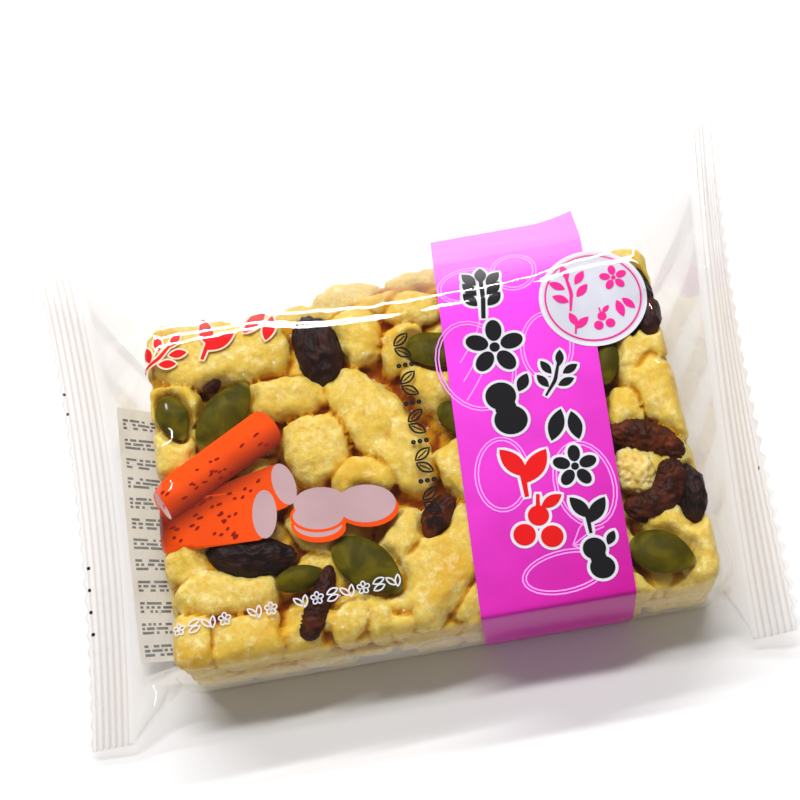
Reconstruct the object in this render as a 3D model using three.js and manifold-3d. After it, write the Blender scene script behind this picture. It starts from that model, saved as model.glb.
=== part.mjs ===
// Sachima in its clear film pack: a pressed block of puffed dough nuggets with raisins and pumpkin seeds.
// The pack is one solid out to the film. The block's nuggets, raisins and seeds press up into the film,
// the film slopes from the block's ends to two crimped end seals with zigzag edges, it stands off the far
// side in a loose fold, and its back seam lies folded along the underside.
// Millimetres, +Z up. The origin is in the middle of the block's underside, on the surface it rests on.

import * as THREE from 'three';
import { mergeVertices } from 'three/addons/utils/BufferGeometryUtils.js';
import Module from 'manifold-3d';

// The pressed block
const BLOCK_LENGTH = 90;
const BLOCK_DEPTH = 62;
const BLOCK_HEIGHT = 20;
const BLOCK_EDGE_RADIUS = 3;

// The film over it: its stand-off, and how far its side folds stand out from the block, and at what height
const FILM_STANDOFF = 0.5;
const NEAR_FOLD_OUT = 1.4;
const NEAR_FOLD_HEIGHT = 9;
const FAR_FOLD_OUT = 12;
const FAR_FOLD_FLARE = 5.5;
const FAR_FOLD_FLARE_LENGTH = 18;
const FAR_FOLD_HEIGHT = 9.5;
const TENT_CREASE = 0.5;
const TENT_CREASES = 5;

// The end seals. Values in threes are at the seal's near end, middle and far end.
const SEAL_NEAR_Y = -38.5;
const SEAL_FAR_Y = 57.5;
const SEAL_WIDTH = 8.6;
const SEAL_THICKNESS = 0.6;
const SEAL_Z = [3, 8, 9.5];
const SEAL_RIDGES = 5;
const SEAL_RIDGE_PITCH = 1.35;
const SEAL_RIDGE_DEPTH = 0.35;
const TOOTH_PITCH = 3;
const TOOTH_DEPTH = 1.3;
const LEFT_SEAL = { side: -1, x: [-56, -54.5, -59.5], bend: [-6, 4, 12] };
const RIGHT_SEAL = { side: 1, x: [49.8, 53.5, 60.5], bend: [22, 66, 76] };
const SEAL_BEND_LENGTH = 3.5;

// The back seam: a flap of film folded flat under the block
const FLAP_FROM_Y = 8;
const FLAP_WIDTH = 11;
const FLAP_GROOVE = 0.5;

// The nuggets that show: x, y, direction in degrees, length and width
const NUGGETS_THAT_SHOW = [
  [-32.5, 23.5, -18, 29, 12], [-3, 23, -20, 17, 10], [-21.5, 13.5, -10, 15, 9], [-17.2, 2.8, 90, 14, 11],
  [-9, 8.7, -60, 19, 11], [-9.7, -3.2, 5, 12, 7], [-1.8, -1, -58, 15, 9], [1.5, 16.5, -48, 12, 9],
  [0.5, -21, 43, 25, 12], [35.2, 1.1, 81, 12, 8], [40.3, -1.6, -60, 15, 10], [35.8, 9.5, -46, 11, 9],
  [40.6, 9.5, -60, 12, 8], [39.2, -24.8, 50, 14, 10], [34.8, -19.4, 0, 10, 7], [-31.5, -25.6, -3, 17, 10],
  [-40.2, -26, 90, 10, 9], [-34.2, -17.2, -37, 17, 9], [-18, -26.4, 15, 14, 8], [-9.5, -27, 50, 11, 8],
  [7.5, -5, -65, 12, 9], [-40.4, -5.3, 90, 18, 9], [-2.4, -11.6, 12, 11, 8], [40.6, 22, -76, 20, 9],
  [35.6, -10.8, -71, 9, 6],
];
// The others fill the gaps, one to each free cell of a jittered grid
const FILL_CELL_X = 10.5;
const FILL_CELL_Y = 8.5;
const FILL_CLEARANCE = 6.5;
const FILL_JITTER = 2.2;
const FILL_SEED = 11;

// How far the film sinks between the nuggets, and how steeply it leaves their tops
const VALLEY_DEPTH = 2;
const NUGGET_FALL = 2.4;

// The nuggets that press into the near side's upper half: how high, how far apart, and their size
const SIDE_ROW_HEIGHT = 13.5;
const SIDE_SPACING = 10;
const SIDE_NUGGET_LENGTH = 13;
const SIDE_NUGGET_WIDTH = 10;
const SIDE_VALLEY_SHARE = 0.6;
const SIDE_SEED = 5;

// What lies in the top of the block: x, y, direction in degrees, length, width and how far it stands up
const SEEDS = [
  [-32, 11.6, 50, 14, 7.6, 1.1], [-41, 13, -70, 9, 5.6, 1.0], [6.1, 17, -20, 12, 7, 0.9],
  [-11.3, -19.1, -45, 14, 7.8, 1.1], [-22.6, -19.2, 5, 8.5, 4.4, 0.8], [36, -25.6, -8, 12.5, 7.6, 1.1],
  [34.3, 9.6, 74, 9, 4, 0.7], [6.6, 4, -65, 7, 4.4, 0.8],
];
const RAISINS = [
  [-14.5, 21.4, -80, 14, 8, 1.3], [-30.5, -14, -12, 15, 6.4, 1.0], [-20, -24.4, 58, 15.5, 4.8, 1.0],
  [38.2, -5.6, -28, 14, 6.4, 1.2], [37.2, -16, 12, 11, 6, 1.1], [43.3, -13.6, -98, 11, 6, 1.0],
  [42, 22.6, -74, 8, 4.6, 0.9], [1.4, -12.4, 52, 8, 4.6, 0.8], [43, 16.6, -98, 7, 4.2, 0.8],
];
const TOPPING_SINK = 1.5;

// How finely the film is drawn: steps along the block, along a tent, and round a ring of film
const BLOCK_STATIONS = 35;
const TENT_STATIONS = 3;
const CORNER_STEPS = 2;
const TOP_STEPS = 26;
const RISE_STEPS = 4;
const TUCK_STEPS = 3;

const filmTop = BLOCK_HEIGHT + FILM_STANDOFF;
const halfLength = BLOCK_LENGTH / 2 + FILM_STANDOFF;
const halfDepth = BLOCK_DEPTH / 2 + FILM_STANDOFF;
const radians = THREE.MathUtils.degToRad;

// A repeatable sequence of numbers from 0 to 1
function seededRandom(seed) {
  let state = seed >>> 0;
  return () => {
    state = (state + 0x6d2b79f5) >>> 0;
    let t = state;
    t = Math.imul(t ^ (t >>> 15), t | 1);
    t ^= t + Math.imul(t ^ (t >>> 7), t | 61);
    return ((t ^ (t >>> 14)) >>> 0) / 4294967296;
  };
}

// A smooth value through three given ones, at the near end, middle and far end
function through([near, middle, far], t) {
  return (1 - t) * (1 - 2 * t) * near + 4 * t * (1 - t) * middle + t * (2 * t - 1) * far;
}

function alongSeal(y) {
  return THREE.MathUtils.clamp((y - SEAL_NEAR_Y) / (SEAL_FAR_Y - SEAL_NEAR_Y), 0, 1);
}

// Every nugget in the block's top: the ones that show, then one in each free cell of the grid
function nuggetLayout() {
  const random = seededRandom(FILL_SEED);
  const nuggets = NUGGETS_THAT_SHOW.map(([x, y, direction, length, width]) => {
    return { x, y, direction: radians(direction), length, width };
  });
  const columns = Math.floor(BLOCK_LENGTH / FILL_CELL_X);
  const rows = Math.floor(BLOCK_DEPTH / FILL_CELL_Y);
  for (let row = 0; row < rows; row++) {
    for (let column = 0; column < columns; column++) {
      const x = ((column + 0.5) / columns - 0.5) * BLOCK_LENGTH + (random() - 0.5) * 2 * FILL_JITTER;
      const y = ((row + 0.5) / rows - 0.5) * BLOCK_DEPTH + (random() - 0.5) * 2 * FILL_JITTER;
      const nugget = { x, y, direction: random() * Math.PI, length: 10 + 6 * random(), width: 8 + 2 * random() };
      const free = nuggets.every((other) => Math.hypot(other.x - x, other.y - y) > FILL_CLEARANCE);
      if (free) {
        nuggets.push(nugget);
      }
    }
  }
  return nuggets;
}

// The nuggets in the near side, as x and height in the block
function sideLayout() {
  const random = seededRandom(SIDE_SEED);
  const nuggets = [];
  for (let x = -BLOCK_LENGTH / 2; x <= BLOCK_LENGTH / 2; x += SIDE_SPACING) {
    const y = SIDE_ROW_HEIGHT + (random() - 0.5) * FILL_JITTER;
    const direction = (random() - 0.5) * Math.PI / 2;
    nuggets.push({ x, y, direction, length: SIDE_NUGGET_LENGTH, width: SIDE_NUGGET_WIDTH });
  }
  return nuggets;
}

// How far the film lies below its flat place, over the nuggets at x, y
function reliefAt(x, y, nuggets) {
  let highest = -VALLEY_DEPTH;
  for (const { x: cx, y: cy, direction, length, width } of nuggets) {
    const along = (x - cx) * Math.cos(direction) + (y - cy) * Math.sin(direction);
    const across = (y - cy) * Math.cos(direction) - (x - cx) * Math.sin(direction);
    const share = (2 * along / length) ** 2 + (2 * across / width) ** 2;
    highest = Math.max(highest, -NUGGET_FALL * share ** 1.3);
  }
  return highest;
}

// How much the block's rounded end draws in at x, from 0 to its edge radius
function endRounding(x) {
  const past = Math.max(0, Math.abs(x) - (halfLength - BLOCK_EDGE_RADIUS));
  return BLOCK_EDGE_RADIUS - Math.sqrt(Math.max(0, BLOCK_EDGE_RADIUS ** 2 - past ** 2));
}

const evenly = (steps) => Array.from({ length: steps - 1 }, (_, k) => (k + 1) / steps);

// Stops across the underside: the share of the way from far to near, and how far the film is drawn in
function undersideStops() {
  const far = halfDepth - BLOCK_EDGE_RADIUS;
  const stop = (y, drawnIn, flap) => ({ share: (far - y) / (2 * far), drawnIn, flap });
  const flapTo = FLAP_FROM_Y - FLAP_WIDTH;
  return [
    stop(22, 0, false), stop(15, 0, false),
    stop(FLAP_FROM_Y + 2, 0, false), stop(FLAP_FROM_Y + 0.5, 1, false), stop(FLAP_FROM_Y, 0, true),
    stop(FLAP_FROM_Y - FLAP_WIDTH / 2, 0, true),
    stop(flapTo, 0, true), stop(flapTo - 0.5, 1, false), stop(flapTo - 2, 0, false),
    stop(-13, 0, false), stop(-22, 0, false),
  ];
}

// The runs between a ring's six folds, from the near fold over the top to the far fold and back underneath
const UNDERSIDE = undersideStops();
const RUNS = [
  { name: 'near rise', shares: evenly(RISE_STEPS) },
  { name: 'top', shares: evenly(TOP_STEPS) },
  { name: 'far fall', shares: evenly(RISE_STEPS) },
  { name: 'far tuck', shares: evenly(TUCK_STEPS) },
  { name: 'underside', shares: UNDERSIDE.map((stop) => stop.share) },
  { name: 'near tuck', shares: evenly(TUCK_STEPS) },
];

// A closed ring of film through six folds, each rounded off over its own length. Each point keeps its run,
// its share of that run, and its place among the run's stops.
function filmRing(folds, roundings) {
  const towards = (from, to, distance) => {
    return from.clone().lerp(to, Math.min(0.45, distance / Math.max(from.distanceTo(to), 1e-6)));
  };
  const ring = [];
  folds.forEach((fold, i) => {
    const before = folds[(i + 5) % 6];
    const after = folds[(i + 1) % 6];
    const start = towards(fold, before, roundings[i]);
    const end = towards(fold, after, roundings[i]);
    const corner = new THREE.QuadraticBezierCurve3(start, fold.clone(), end);
    corner.getPoints(CORNER_STEPS).forEach((point) => ring.push({ point, run: 'corner', share: 0, stop: -1 }));
    const nextStart = towards(after, fold, roundings[(i + 1) % 6]);
    RUNS[i].shares.forEach((share, stop) => {
      ring.push({ point: end.clone().lerp(nextStart, share), run: RUNS[i].name, share, stop });
    });
  });
  return ring;
}

// The film round the block at x, with the nuggets' relief on it and the back seam's flap underneath
function blockRing(x, layout) {
  const inset = endRounding(x);
  const top = filmTop - inset;
  const side = halfDepth - inset * 0.5;
  const at = (y, z) => new THREE.Vector3(x, y, z);
  const fromEnd = (halfLength - Math.abs(x)) / FAR_FOLD_FLARE_LENGTH;
  const farOut = FAR_FOLD_OUT + FAR_FOLD_FLARE * Math.max(0, 1 - fromEnd) ** 1.5;
  const folds = [
    at(-side - NEAR_FOLD_OUT, NEAR_FOLD_HEIGHT), at(-side, top), at(side, top),
    at(side + farOut, FAR_FOLD_HEIGHT), at(side, 0), at(-side, 0),
  ];
  const edge = BLOCK_EDGE_RADIUS;
  const ring = filmRing(folds, [edge, edge, edge, 1, edge, edge * 0.6]);
  const fade = 1 - inset / BLOCK_EDGE_RADIUS;
  for (const { point, run, stop } of ring) {
    if (run === 'top') {
      point.z += reliefAt(x, point.y, layout.top) * fade;
    }
    if (run === 'near rise') {
      point.y -= reliefAt(x, point.z, layout.side) * SIDE_VALLEY_SHARE * fade;
    }
    if (run === 'underside' && UNDERSIDE[stop].drawnIn) {
      point.z += FLAP_GROOVE;
    }
  }
  return ring;
}

// The film in an end seal, flattened into a strip, at a distance out from the seal's inner edge
function sealRing(seal, out, lift) {
  const at = (y, thicker) => {
    const t = alongSeal(y);
    return new THREE.Vector3(through(seal.x, t) + seal.side * out, y, through(SEAL_Z, t) + lift + thicker);
  };
  const half = SEAL_THICKNESS / 2;
  const shoulder = 8;
  const folds = [
    at(SEAL_NEAR_Y, 0), at(SEAL_NEAR_Y + shoulder, half), at(SEAL_FAR_Y - shoulder, half),
    at(SEAL_FAR_Y, 0), at(SEAL_FAR_Y - shoulder, -half), at(SEAL_NEAR_Y + shoulder, -half),
  ];
  const ring = filmRing(folds, [0.6, 1, 1, 0.6, 1, 1]);
  for (const sample of ring) {
    const { point, run, stop } = sample;
    const t = alongSeal(point.y);
    point.x = through(seal.x, t) + seal.side * out;
    const middle = through(SEAL_Z, t) + lift;
    const above = ['near rise', 'top', 'far fall'].includes(run);
    const below = ['far tuck', 'underside', 'near tuck'].includes(run);
    const fromEnd = Math.min(point.y - SEAL_NEAR_Y, SEAL_FAR_Y - point.y);
    const thin = Math.min(1, 0.35 + fromEnd / shoulder);
    const flap = run === 'underside' && UNDERSIDE[stop].flap ? 0.3 : 0;
    if (above) {
      point.z = middle + half * thin;
    } else if (below) {
      point.z = middle - half * thin - flap;
    } else {
      const level = point.z;
      point.z = middle + Math.sign(level - middle || 0) * Math.min(Math.abs(level - middle), half * thin);
    }
  }
  return ring;
}

// The sloping film between a block's end and its seal, with creases that run from one to the other
function tentRing(blockEnd, sealStart, share) {
  return blockEnd.map(({ point, run, share: across, stop }, i) => {
    const between = point.clone().lerp(sealStart[i].point, share);
    if (run === 'top' || run === 'underside') {
      const crease = Math.cos(2 * Math.PI * TENT_CREASES * across) * Math.sin(Math.PI * share);
      between.z += TENT_CREASE * crease * (run === 'top' ? 1 : -0.5);
    }
    return { point: between, run, share: across, stop };
  });
}

// All rings from the block's end out to past the seal's edge
function endRings(seal, layout) {
  const blockEnd = blockRing(seal.side * halfLength, layout);
  const sealStart = sealRing(seal, 0, 0);
  const rings = evenly(TENT_STATIONS + 1).map((share) => tentRing(blockEnd, sealStart, share));
  rings.push(sealStart);
  const firstRidge = (SEAL_WIDTH - SEAL_RIDGES * SEAL_RIDGE_PITCH) / 2;
  for (let k = 0; k <= 2 * SEAL_RIDGES; k++) {
    const lift = k % 2 === 1 ? SEAL_RIDGE_DEPTH : 0;
    rings.push(sealRing(seal, firstRidge + k * SEAL_RIDGE_PITCH / 2, lift));
  }
  rings.push(sealRing(seal, SEAL_WIDTH + 1, 0));
  return rings;
}

// A closed surface through all rings, with a fan over each open end
function loft(rings) {
  const count = rings[0].length;
  const positions = rings.flatMap((ring) => ring.flatMap(({ point }) => point.toArray()));
  const triangles = [];
  for (let r = 0; r + 1 < rings.length; r++) {
    for (let i = 0; i < count; i++) {
      const a = r * count + i;
      const b = r * count + (i + 1) % count;
      triangles.push(a, a + count, b, b, a + count, b + count);
    }
  }
  for (const [r, turned] of [[0, false], [rings.length - 1, true]]) {
    const centre = new THREE.Vector3();
    rings[r].forEach(({ point }) => centre.addScaledVector(point, 1 / count));
    const hub = positions.length / 3;
    positions.push(...centre.toArray());
    for (let i = 0; i < count; i++) {
      const a = r * count + i;
      const b = r * count + (i + 1) % count;
      triangles.push(...(turned ? [hub, b, a] : [hub, a, b]));
    }
  }
  const geometry = new THREE.BufferGeometry();
  geometry.setAttribute('position', new THREE.Float32BufferAttribute(positions, 3));
  geometry.setIndex(triangles);
  return geometry;
}

// What the zigzag knife takes off beyond a seal's edge
function knife(seal) {
  const reach = 30;
  const outline = new THREE.Shape();
  const from = SEAL_NEAR_Y - TOOTH_PITCH;
  const steps = Math.ceil((SEAL_FAR_Y - SEAL_NEAR_Y + 2 * TOOTH_PITCH) / (TOOTH_PITCH / 2));
  outline.moveTo(seal.x[0] + seal.side * reach, from);
  for (let k = 0; k <= steps; k++) {
    const y = from + k * TOOTH_PITCH / 2;
    const tip = k % 2 === 0 ? 0 : -TOOTH_DEPTH;
    outline.lineTo(through(seal.x, alongSeal(y)) + seal.side * (SEAL_WIDTH + tip), y);
  }
  outline.lineTo(seal.x[0] + seal.side * reach, from + steps * TOOTH_PITCH / 2);
  const geometry = new THREE.ExtrudeGeometry(outline, { depth: 2 * BLOCK_HEIGHT, bevelEnabled: false });
  return geometry.translate(0, 0, -BLOCK_HEIGHT / 2);
}

// A seed or raisin under the film: a low-sided egg, flat for a seed, sunk in the block's top
function topping([x, y, direction, length, width, standsUp], segments) {
  const height = TOPPING_SINK + standsUp;
  const geometry = new THREE.SphereGeometry(1, segments, 6);
  geometry.rotateX(Math.PI / 2);
  geometry.scale(length / 2, width / 2, height);
  geometry.rotateZ(radians(direction));
  return geometry.translate(x, y, filmTop - TOPPING_SINK);
}

// Bends a finished seal up from its inner edge, more at some places along it than at others
function bendSeal(point, seal) {
  const t = alongSeal(point.y);
  const inner = through(seal.x, t);
  const out = (point.x - inner) * seal.side;
  if (out <= 0) {
    return;
  }
  const angle = radians(through(seal.bend, t));
  const height = point.z - through(SEAL_Z, t);
  const bent = Math.min(out / SEAL_BEND_LENGTH, 1);
  const turn = angle * bent;
  const radius = SEAL_BEND_LENGTH / (angle || 1e-6);
  const past = Math.max(0, out - SEAL_BEND_LENGTH);
  const alongX = radius * Math.sin(turn) + past * Math.cos(turn) - height * Math.sin(turn);
  const alongZ = radius * (1 - Math.cos(turn)) + past * Math.sin(turn) + height * Math.cos(turn);
  point.x = inner + seal.side * alongX;
  point.z = through(SEAL_Z, t) + alongZ;
}

const wasm = await Module();
wasm.setup();

function toManifold(geometry) {
  const bare = geometry.clone();
  bare.deleteAttribute('normal');
  bare.deleteAttribute('uv');
  const merged = mergeVertices(bare, 1e-5);
  return new wasm.Manifold(new wasm.Mesh({
    numProp: 3,
    vertProperties: new Float32Array(merged.attributes.position.array),
    triVerts: new Uint32Array(merged.index.array),
  }));
}

function toGeometry(manifold) {
  const mesh = manifold.getMesh();
  const geometry = new THREE.BufferGeometry();
  geometry.setAttribute('position', new THREE.BufferAttribute(new Float32Array(mesh.vertProperties), 3));
  geometry.setIndex(new THREE.BufferAttribute(new Uint32Array(mesh.triVerts), 1));
  return geometry;
}

function packGeometry() {
  const layout = { top: nuggetLayout(), side: sideLayout() };
  const along = [0, ...evenly(BLOCK_STATIONS), 1].map((share) => (2 * share - 1) * halfLength);
  const middle = along.map((x) => blockRing(x, layout));
  const rings = [...endRings(LEFT_SEAL, layout).reverse(), ...middle, ...endRings(RIGHT_SEAL, layout)];
  let pack = toManifold(loft(rings));
  pack = pack.subtract(toManifold(knife(LEFT_SEAL))).subtract(toManifold(knife(RIGHT_SEAL)));
  SEEDS.forEach((seed) => {
    pack = pack.add(toManifold(topping(seed, 12)));
  });
  RAISINS.forEach((raisin) => {
    pack = pack.add(toManifold(topping(raisin, 10)));
  });
  const geometry = toGeometry(pack);
  const place = geometry.attributes.position;
  const point = new THREE.Vector3();
  for (let i = 0; i < place.count; i++) {
    point.fromBufferAttribute(place, i);
    bendSeal(point, point.x < 0 ? LEFT_SEAL : RIGHT_SEAL);
    place.setXYZ(i, point.x, point.y, point.z);
  }
  geometry.computeVertexNormals();
  return geometry;
}

const filmAndFood = new THREE.MeshStandardMaterial({ color: 0xecd27c, roughness: 0.35, metalness: 0 });
const pack = new THREE.Mesh(packGeometry(), filmAndFood);
pack.name = 'sachima_pack';

const group = new THREE.Group();
group.add(pack);

export default group;
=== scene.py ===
# Sachima in its clear film pack: the sweet, its raisins and seeds, the film over them, and the film's print.
# Lengths in the constants are millimetres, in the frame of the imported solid: the origin is in the middle
# of the block's underside, +X runs to the right end seal, +Y to the far side and +Z up.

import math

import bpy
import numpy as np
from mathutils import Matrix, Vector, noise
from mathutils.bvhtree import BVHTree
from mathutils.geometry import delaunay_2d_cdt


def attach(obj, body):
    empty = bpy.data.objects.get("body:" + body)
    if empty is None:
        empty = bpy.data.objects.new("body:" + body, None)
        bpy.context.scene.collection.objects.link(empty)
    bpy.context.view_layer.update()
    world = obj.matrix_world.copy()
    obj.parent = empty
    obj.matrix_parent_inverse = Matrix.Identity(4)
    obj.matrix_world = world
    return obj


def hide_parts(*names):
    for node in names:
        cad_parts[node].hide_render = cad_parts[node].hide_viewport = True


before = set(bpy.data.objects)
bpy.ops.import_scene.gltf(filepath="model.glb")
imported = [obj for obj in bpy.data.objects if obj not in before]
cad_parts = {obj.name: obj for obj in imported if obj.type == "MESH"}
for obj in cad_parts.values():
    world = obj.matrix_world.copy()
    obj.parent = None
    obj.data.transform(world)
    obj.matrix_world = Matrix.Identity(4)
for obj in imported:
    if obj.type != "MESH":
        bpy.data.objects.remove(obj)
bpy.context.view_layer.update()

# Metres in a millimetre
MM = 0.001

# The pressed block
BLOCK_LENGTH = 90
BLOCK_DEPTH = 62
BLOCK_HEIGHT = 20
BLOCK_EDGE_RADIUS = 3

# The film over it
FILM_STANDOFF = 0.5
NEAR_FOLD_OUT = 1.4
NEAR_FOLD_HEIGHT = 9
NEAR_TOP_ROUNDING = 1
FAR_FOLD_OUT = 12
FAR_FOLD_FLARE = 5.5
FAR_FOLD_FLARE_LENGTH = 18
FAR_FOLD_HEIGHT = 9.5
TENT_CREASE = 0.5
TENT_CREASE_UNDER = 0.25
TENT_CREASES = 5
TENT_STATIONS = 16
FILM_STEP = 0.75

# The end seals. Values in threes are at the seal's near end, middle and far end.
SEAL_NEAR_Y = -38.5
SEAL_FAR_Y = 57.5
SEAL_WIDTH = 8.6
SEAL_GAP = 0.12
SEAL_Z = (3, 8, 9.5)
SEAL_RIDGES = 6
SEAL_RIDGE_PITCH = 1.15
SEAL_RIDGE_DEPTH = 0.22
SEAL_STATIONS = 44
TOOTH_PITCH = 3
TOOTH_DEPTH = 1.3
SEAL_BEND_LENGTH = 3.5
LEFT_SEAL = {"side": -1, "x": (-56, -54.5, -59.5), "bend": (-6, 4, 12)}
RIGHT_SEAL = {"side": 1, "x": (49.8, 53.5, 60.5), "bend": (22, 66, 76)}

# The nuggets that show: x, y, direction in degrees, length and width
NUGGETS_THAT_SHOW = [
    (-32, 23.4, -4, 25, 10.5), (-41.5, 15.4, -20, 10, 7), (-7, 23, -75, 12, 8.6), (0.2, 19.1, 10, 9, 8),
    (3.1, 26.2, -10, 11, 7), (-21.5, 13.3, -6, 14, 7.5), (-17, 3.2, 90, 13, 10.5), (-5.9, 4.8, -62, 26, 10),
    (-9.7, -3.4, 3, 12, 7), (0.5, -21, 43, 25, 12), (-4.6, -14.4, 62, 11, 7), (-10.4, -26.4, 80, 10, 5.4),
    (-15.4, -27.6, 25, 8.5, 6), (-7.2, -29, 10, 6, 5), (-32.6, -27.4, 4, 14, 8.6), (-41, -26.8, 88, 10, 7),
    (-35, -19.2, -6, 17, 8), (-40.8, -13.2, 20, 9, 7), (-42, 6.6, 70, 9, 8), (-40.4, -4, 90, 13, 9),
    (43, 22, -78, 17, 7), (43, 12.4, 50, 7, 6), (37.6, 10, -30, 8, 6.4), (41.4, 3, -62, 19, 8.6),
    (35.4, 0.6, 84, 8.4, 5.6), (39.6, -19.6, 18, 11, 6.5), (42.8, -25, -75, 13, 7.8),
    (7.5, -5, -65, 12, 9), (2, -13.5, -20, 9, 7), (4.6, 11.4, -60, 11, 8.6),
]
# Nuggets that bulge out of the far side under the film's slope
FAR_NUGGETS = [(-8, 29.6, -4, 14, 8.5), (4.5, 30, 6, 13, 8)]
FAR_NUGGET_TOP = 18.6
FAR_NUGGET_HEIGHT = 10
# The others fill the gaps, one to each free cell of a jittered grid
FILL_CELL_X = 10.5
FILL_CELL_Y = 8.5
FILL_CLEARANCE = 6.5
FILL_JITTER = 2.2
FILL_SEED = 11
# Each of these pairs is the least and how much more it may be
FILL_LENGTH = (10, 6)
FILL_WIDTH = (8, 2)
TOP_NUGGET_HEIGHT = (9, 2)
LOWER_NUGGET_HEIGHT = (8, 2)
SIDE_NUGGET_LENGTH = (12, 4)
SIDE_NUGGET_HEIGHT = (8, 1)
SIDE_NUGGET_WIDTH = 9
SIDE_NUGGET_LEVELS = (6.5, 12.5)
SIDE_NUGGET_PITCH = 9.5

# What lies in the top of the block: x, y, direction in degrees, length, width and how far it stands up.
# How brown each raisin is comes after them.
SEEDS = [
    (-32, 11.6, 50, 14, 7.6, 0.4), (-41, 13, -70, 9, 5.6, -0.3), (6.1, 17, -20, 12, 7, 0.3),
    (-11.3, -19.1, -45, 14, 7.8, 0.4), (-22.6, -19.2, 5, 8.5, 4.4, 0.1), (36, -25.2, -26, 10.8, 7.6, 0.4),
    (34.3, 9.6, 74, 9, 4, 0.1), (6.6, 4, -65, 7, 4.4, 0.1), (-8.5, -8.5, -30, 8, 5, -0.2),
]
RAISINS = [
    (-14.5, 21.4, -80, 14, 8, 0.4), (-30.5, -14, -12, 15, 6.6, 0.2), (43.2, -15.8, -98, 10, 4.4, -0.7),
    (42, 22.6, -74, 8, 4.6, 0.1), (1.4, -12.4, 52, 8, 4.6, 0.1), (43, 16.6, -98, 7, 4.2, 0.1),
    (-33.6, 17.4, 30, 3, 2.2, 0), (-41.6, -3.4, 10, 3, 2, -0.2),
]
RAISIN_FLATNESS = 0.72
BENT_RAISIN_FLATNESS = 0.66
RAISIN_BROWNS = [0.15, 0.05, 0.1, 0.3, 0.8, 0.4, 0.5, 1]
# Long raisins that bend, each through its points with a width at each, and how brown it is
BENT_RAISINS = [
    ([(40.2, -9.4, 4.4), (40.6, -12.6, 5), (38.8, -15.8, 5.2), (35, -17.6, 4.8), (31.8, -15.8, 3.6)], 0.6),
    ([(31, -3.4, 3.4), (36, -4, 4.8), (40.2, -6.4, 4.8), (42.9, -10, 4)], 1),
    ([(-17.4, -17.8, 2), (-18.6, -21, 3), (-20.8, -25.4, 3.8), (-22.9, -29.6, 3.8)], 0.6),
]
CRUMB = (34.9, -10.6, -65, 8.4, 7)
CRUMB_HEIGHT = 6
SEED_THICKNESS = 2.7

film_top = BLOCK_HEIGHT + FILM_STANDOFF
half_length = BLOCK_LENGTH / 2 + FILM_STANDOFF
half_depth = BLOCK_DEPTH / 2 + FILM_STANDOFF
UP = Vector((0, 0, 1))
DOWN = Vector((0, 0, -1))


# Meshes and small helpers

def seeded_random(seed):
    """A repeatable sequence of numbers from 0 to 1."""
    state = seed
    word = 0xFFFFFFFF

    def draw():
        nonlocal state
        state = (state + 0x6D2B79F5) & word
        t = state
        t = ((t ^ (t >> 15)) * (t | 1)) & word
        t ^= (t + (t ^ (t >> 7)) * (t | 61)) & word
        return (t ^ (t >> 14)) / (word + 1)

    return draw


def some(random, pair):
    """A size from a pair: the least, and how much more it may be."""
    return pair[0] + pair[1] * random()


def unit(vectors):
    """Each vector at a length of 1."""
    return vectors / np.maximum(np.linalg.norm(vectors, axis=-1, keepdims=True), 1e-9)


def new_piece(name, points, faces, material, smooth=True):
    """A mesh object from points in millimetres."""
    mesh = bpy.data.meshes.new(name)
    mesh.from_pydata((np.asarray(points, float) * MM).tolist(), [], [tuple(face) for face in faces])
    mesh.validate()
    mesh.polygons.foreach_set("use_smooth", [smooth] * len(mesh.polygons))
    mesh.materials.append(material)
    piece = bpy.data.objects.new(name, mesh)
    bpy.context.scene.collection.objects.link(piece)
    return piece


def finish_piece(piece):
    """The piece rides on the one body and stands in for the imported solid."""
    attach(piece, "root")
    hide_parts("sachima_pack")


def ball(level):
    """The points and faces of a unit sphere of triangles, split a number of times."""
    golden = (1 + math.sqrt(5)) / 2
    points = [(-1, golden, 0), (1, golden, 0), (-1, -golden, 0), (1, -golden, 0),
              (0, -1, golden), (0, 1, golden), (0, -1, -golden), (0, 1, -golden),
              (golden, 0, -1), (golden, 0, 1), (-golden, 0, -1), (-golden, 0, 1)]
    faces = [(0, 11, 5), (0, 5, 1), (0, 1, 7), (0, 7, 10), (0, 10, 11), (1, 5, 9), (5, 11, 4), (11, 10, 2),
             (10, 7, 6), (7, 1, 8), (3, 9, 4), (3, 4, 2), (3, 2, 6), (3, 6, 8), (3, 8, 9), (4, 9, 5),
             (2, 4, 11), (6, 2, 10), (8, 6, 7), (9, 8, 1)]
    points = [np.array(p) / np.linalg.norm(p) for p in points]
    for _ in range(level):
        halves, split = {}, []

        def half(a, b):
            key = (min(a, b), max(a, b))
            if key not in halves:
                middle = points[a] + points[b]
                points.append(middle / np.linalg.norm(middle))
                halves[key] = len(points) - 1
            return halves[key]

        for a, b, c in faces:
            ab, bc, ca = half(a, b), half(b, c), half(c, a)
            split += [(a, ab, ca), (b, bc, ab), (c, ca, bc), (ab, bc, ca)]
        faces = split
    return np.array(points), np.array(faces)


def joined(shapes):
    """One list of points and one of faces from several."""
    points, faces, count = [], [], 0
    for shape_points, shape_faces in shapes:
        points.append(shape_points)
        faces.append(shape_faces + count)
        count += len(shape_points)
    return np.concatenate(points), np.concatenate(faces)


def rotated(points, degrees, first=0, second=1):
    """Points turned in the plane of two of their axes, about +Z if none are given."""
    c, s = math.cos(math.radians(degrees)), math.sin(math.radians(degrees))
    moved = np.array(points, float)
    moved[:, first] = c * points[:, first] - s * points[:, second]
    moved[:, second] = s * points[:, first] + c * points[:, second]
    return moved


def tilted(points, degrees):
    """Points turned about +X."""
    return rotated(points, degrees, 1, 2)


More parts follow.
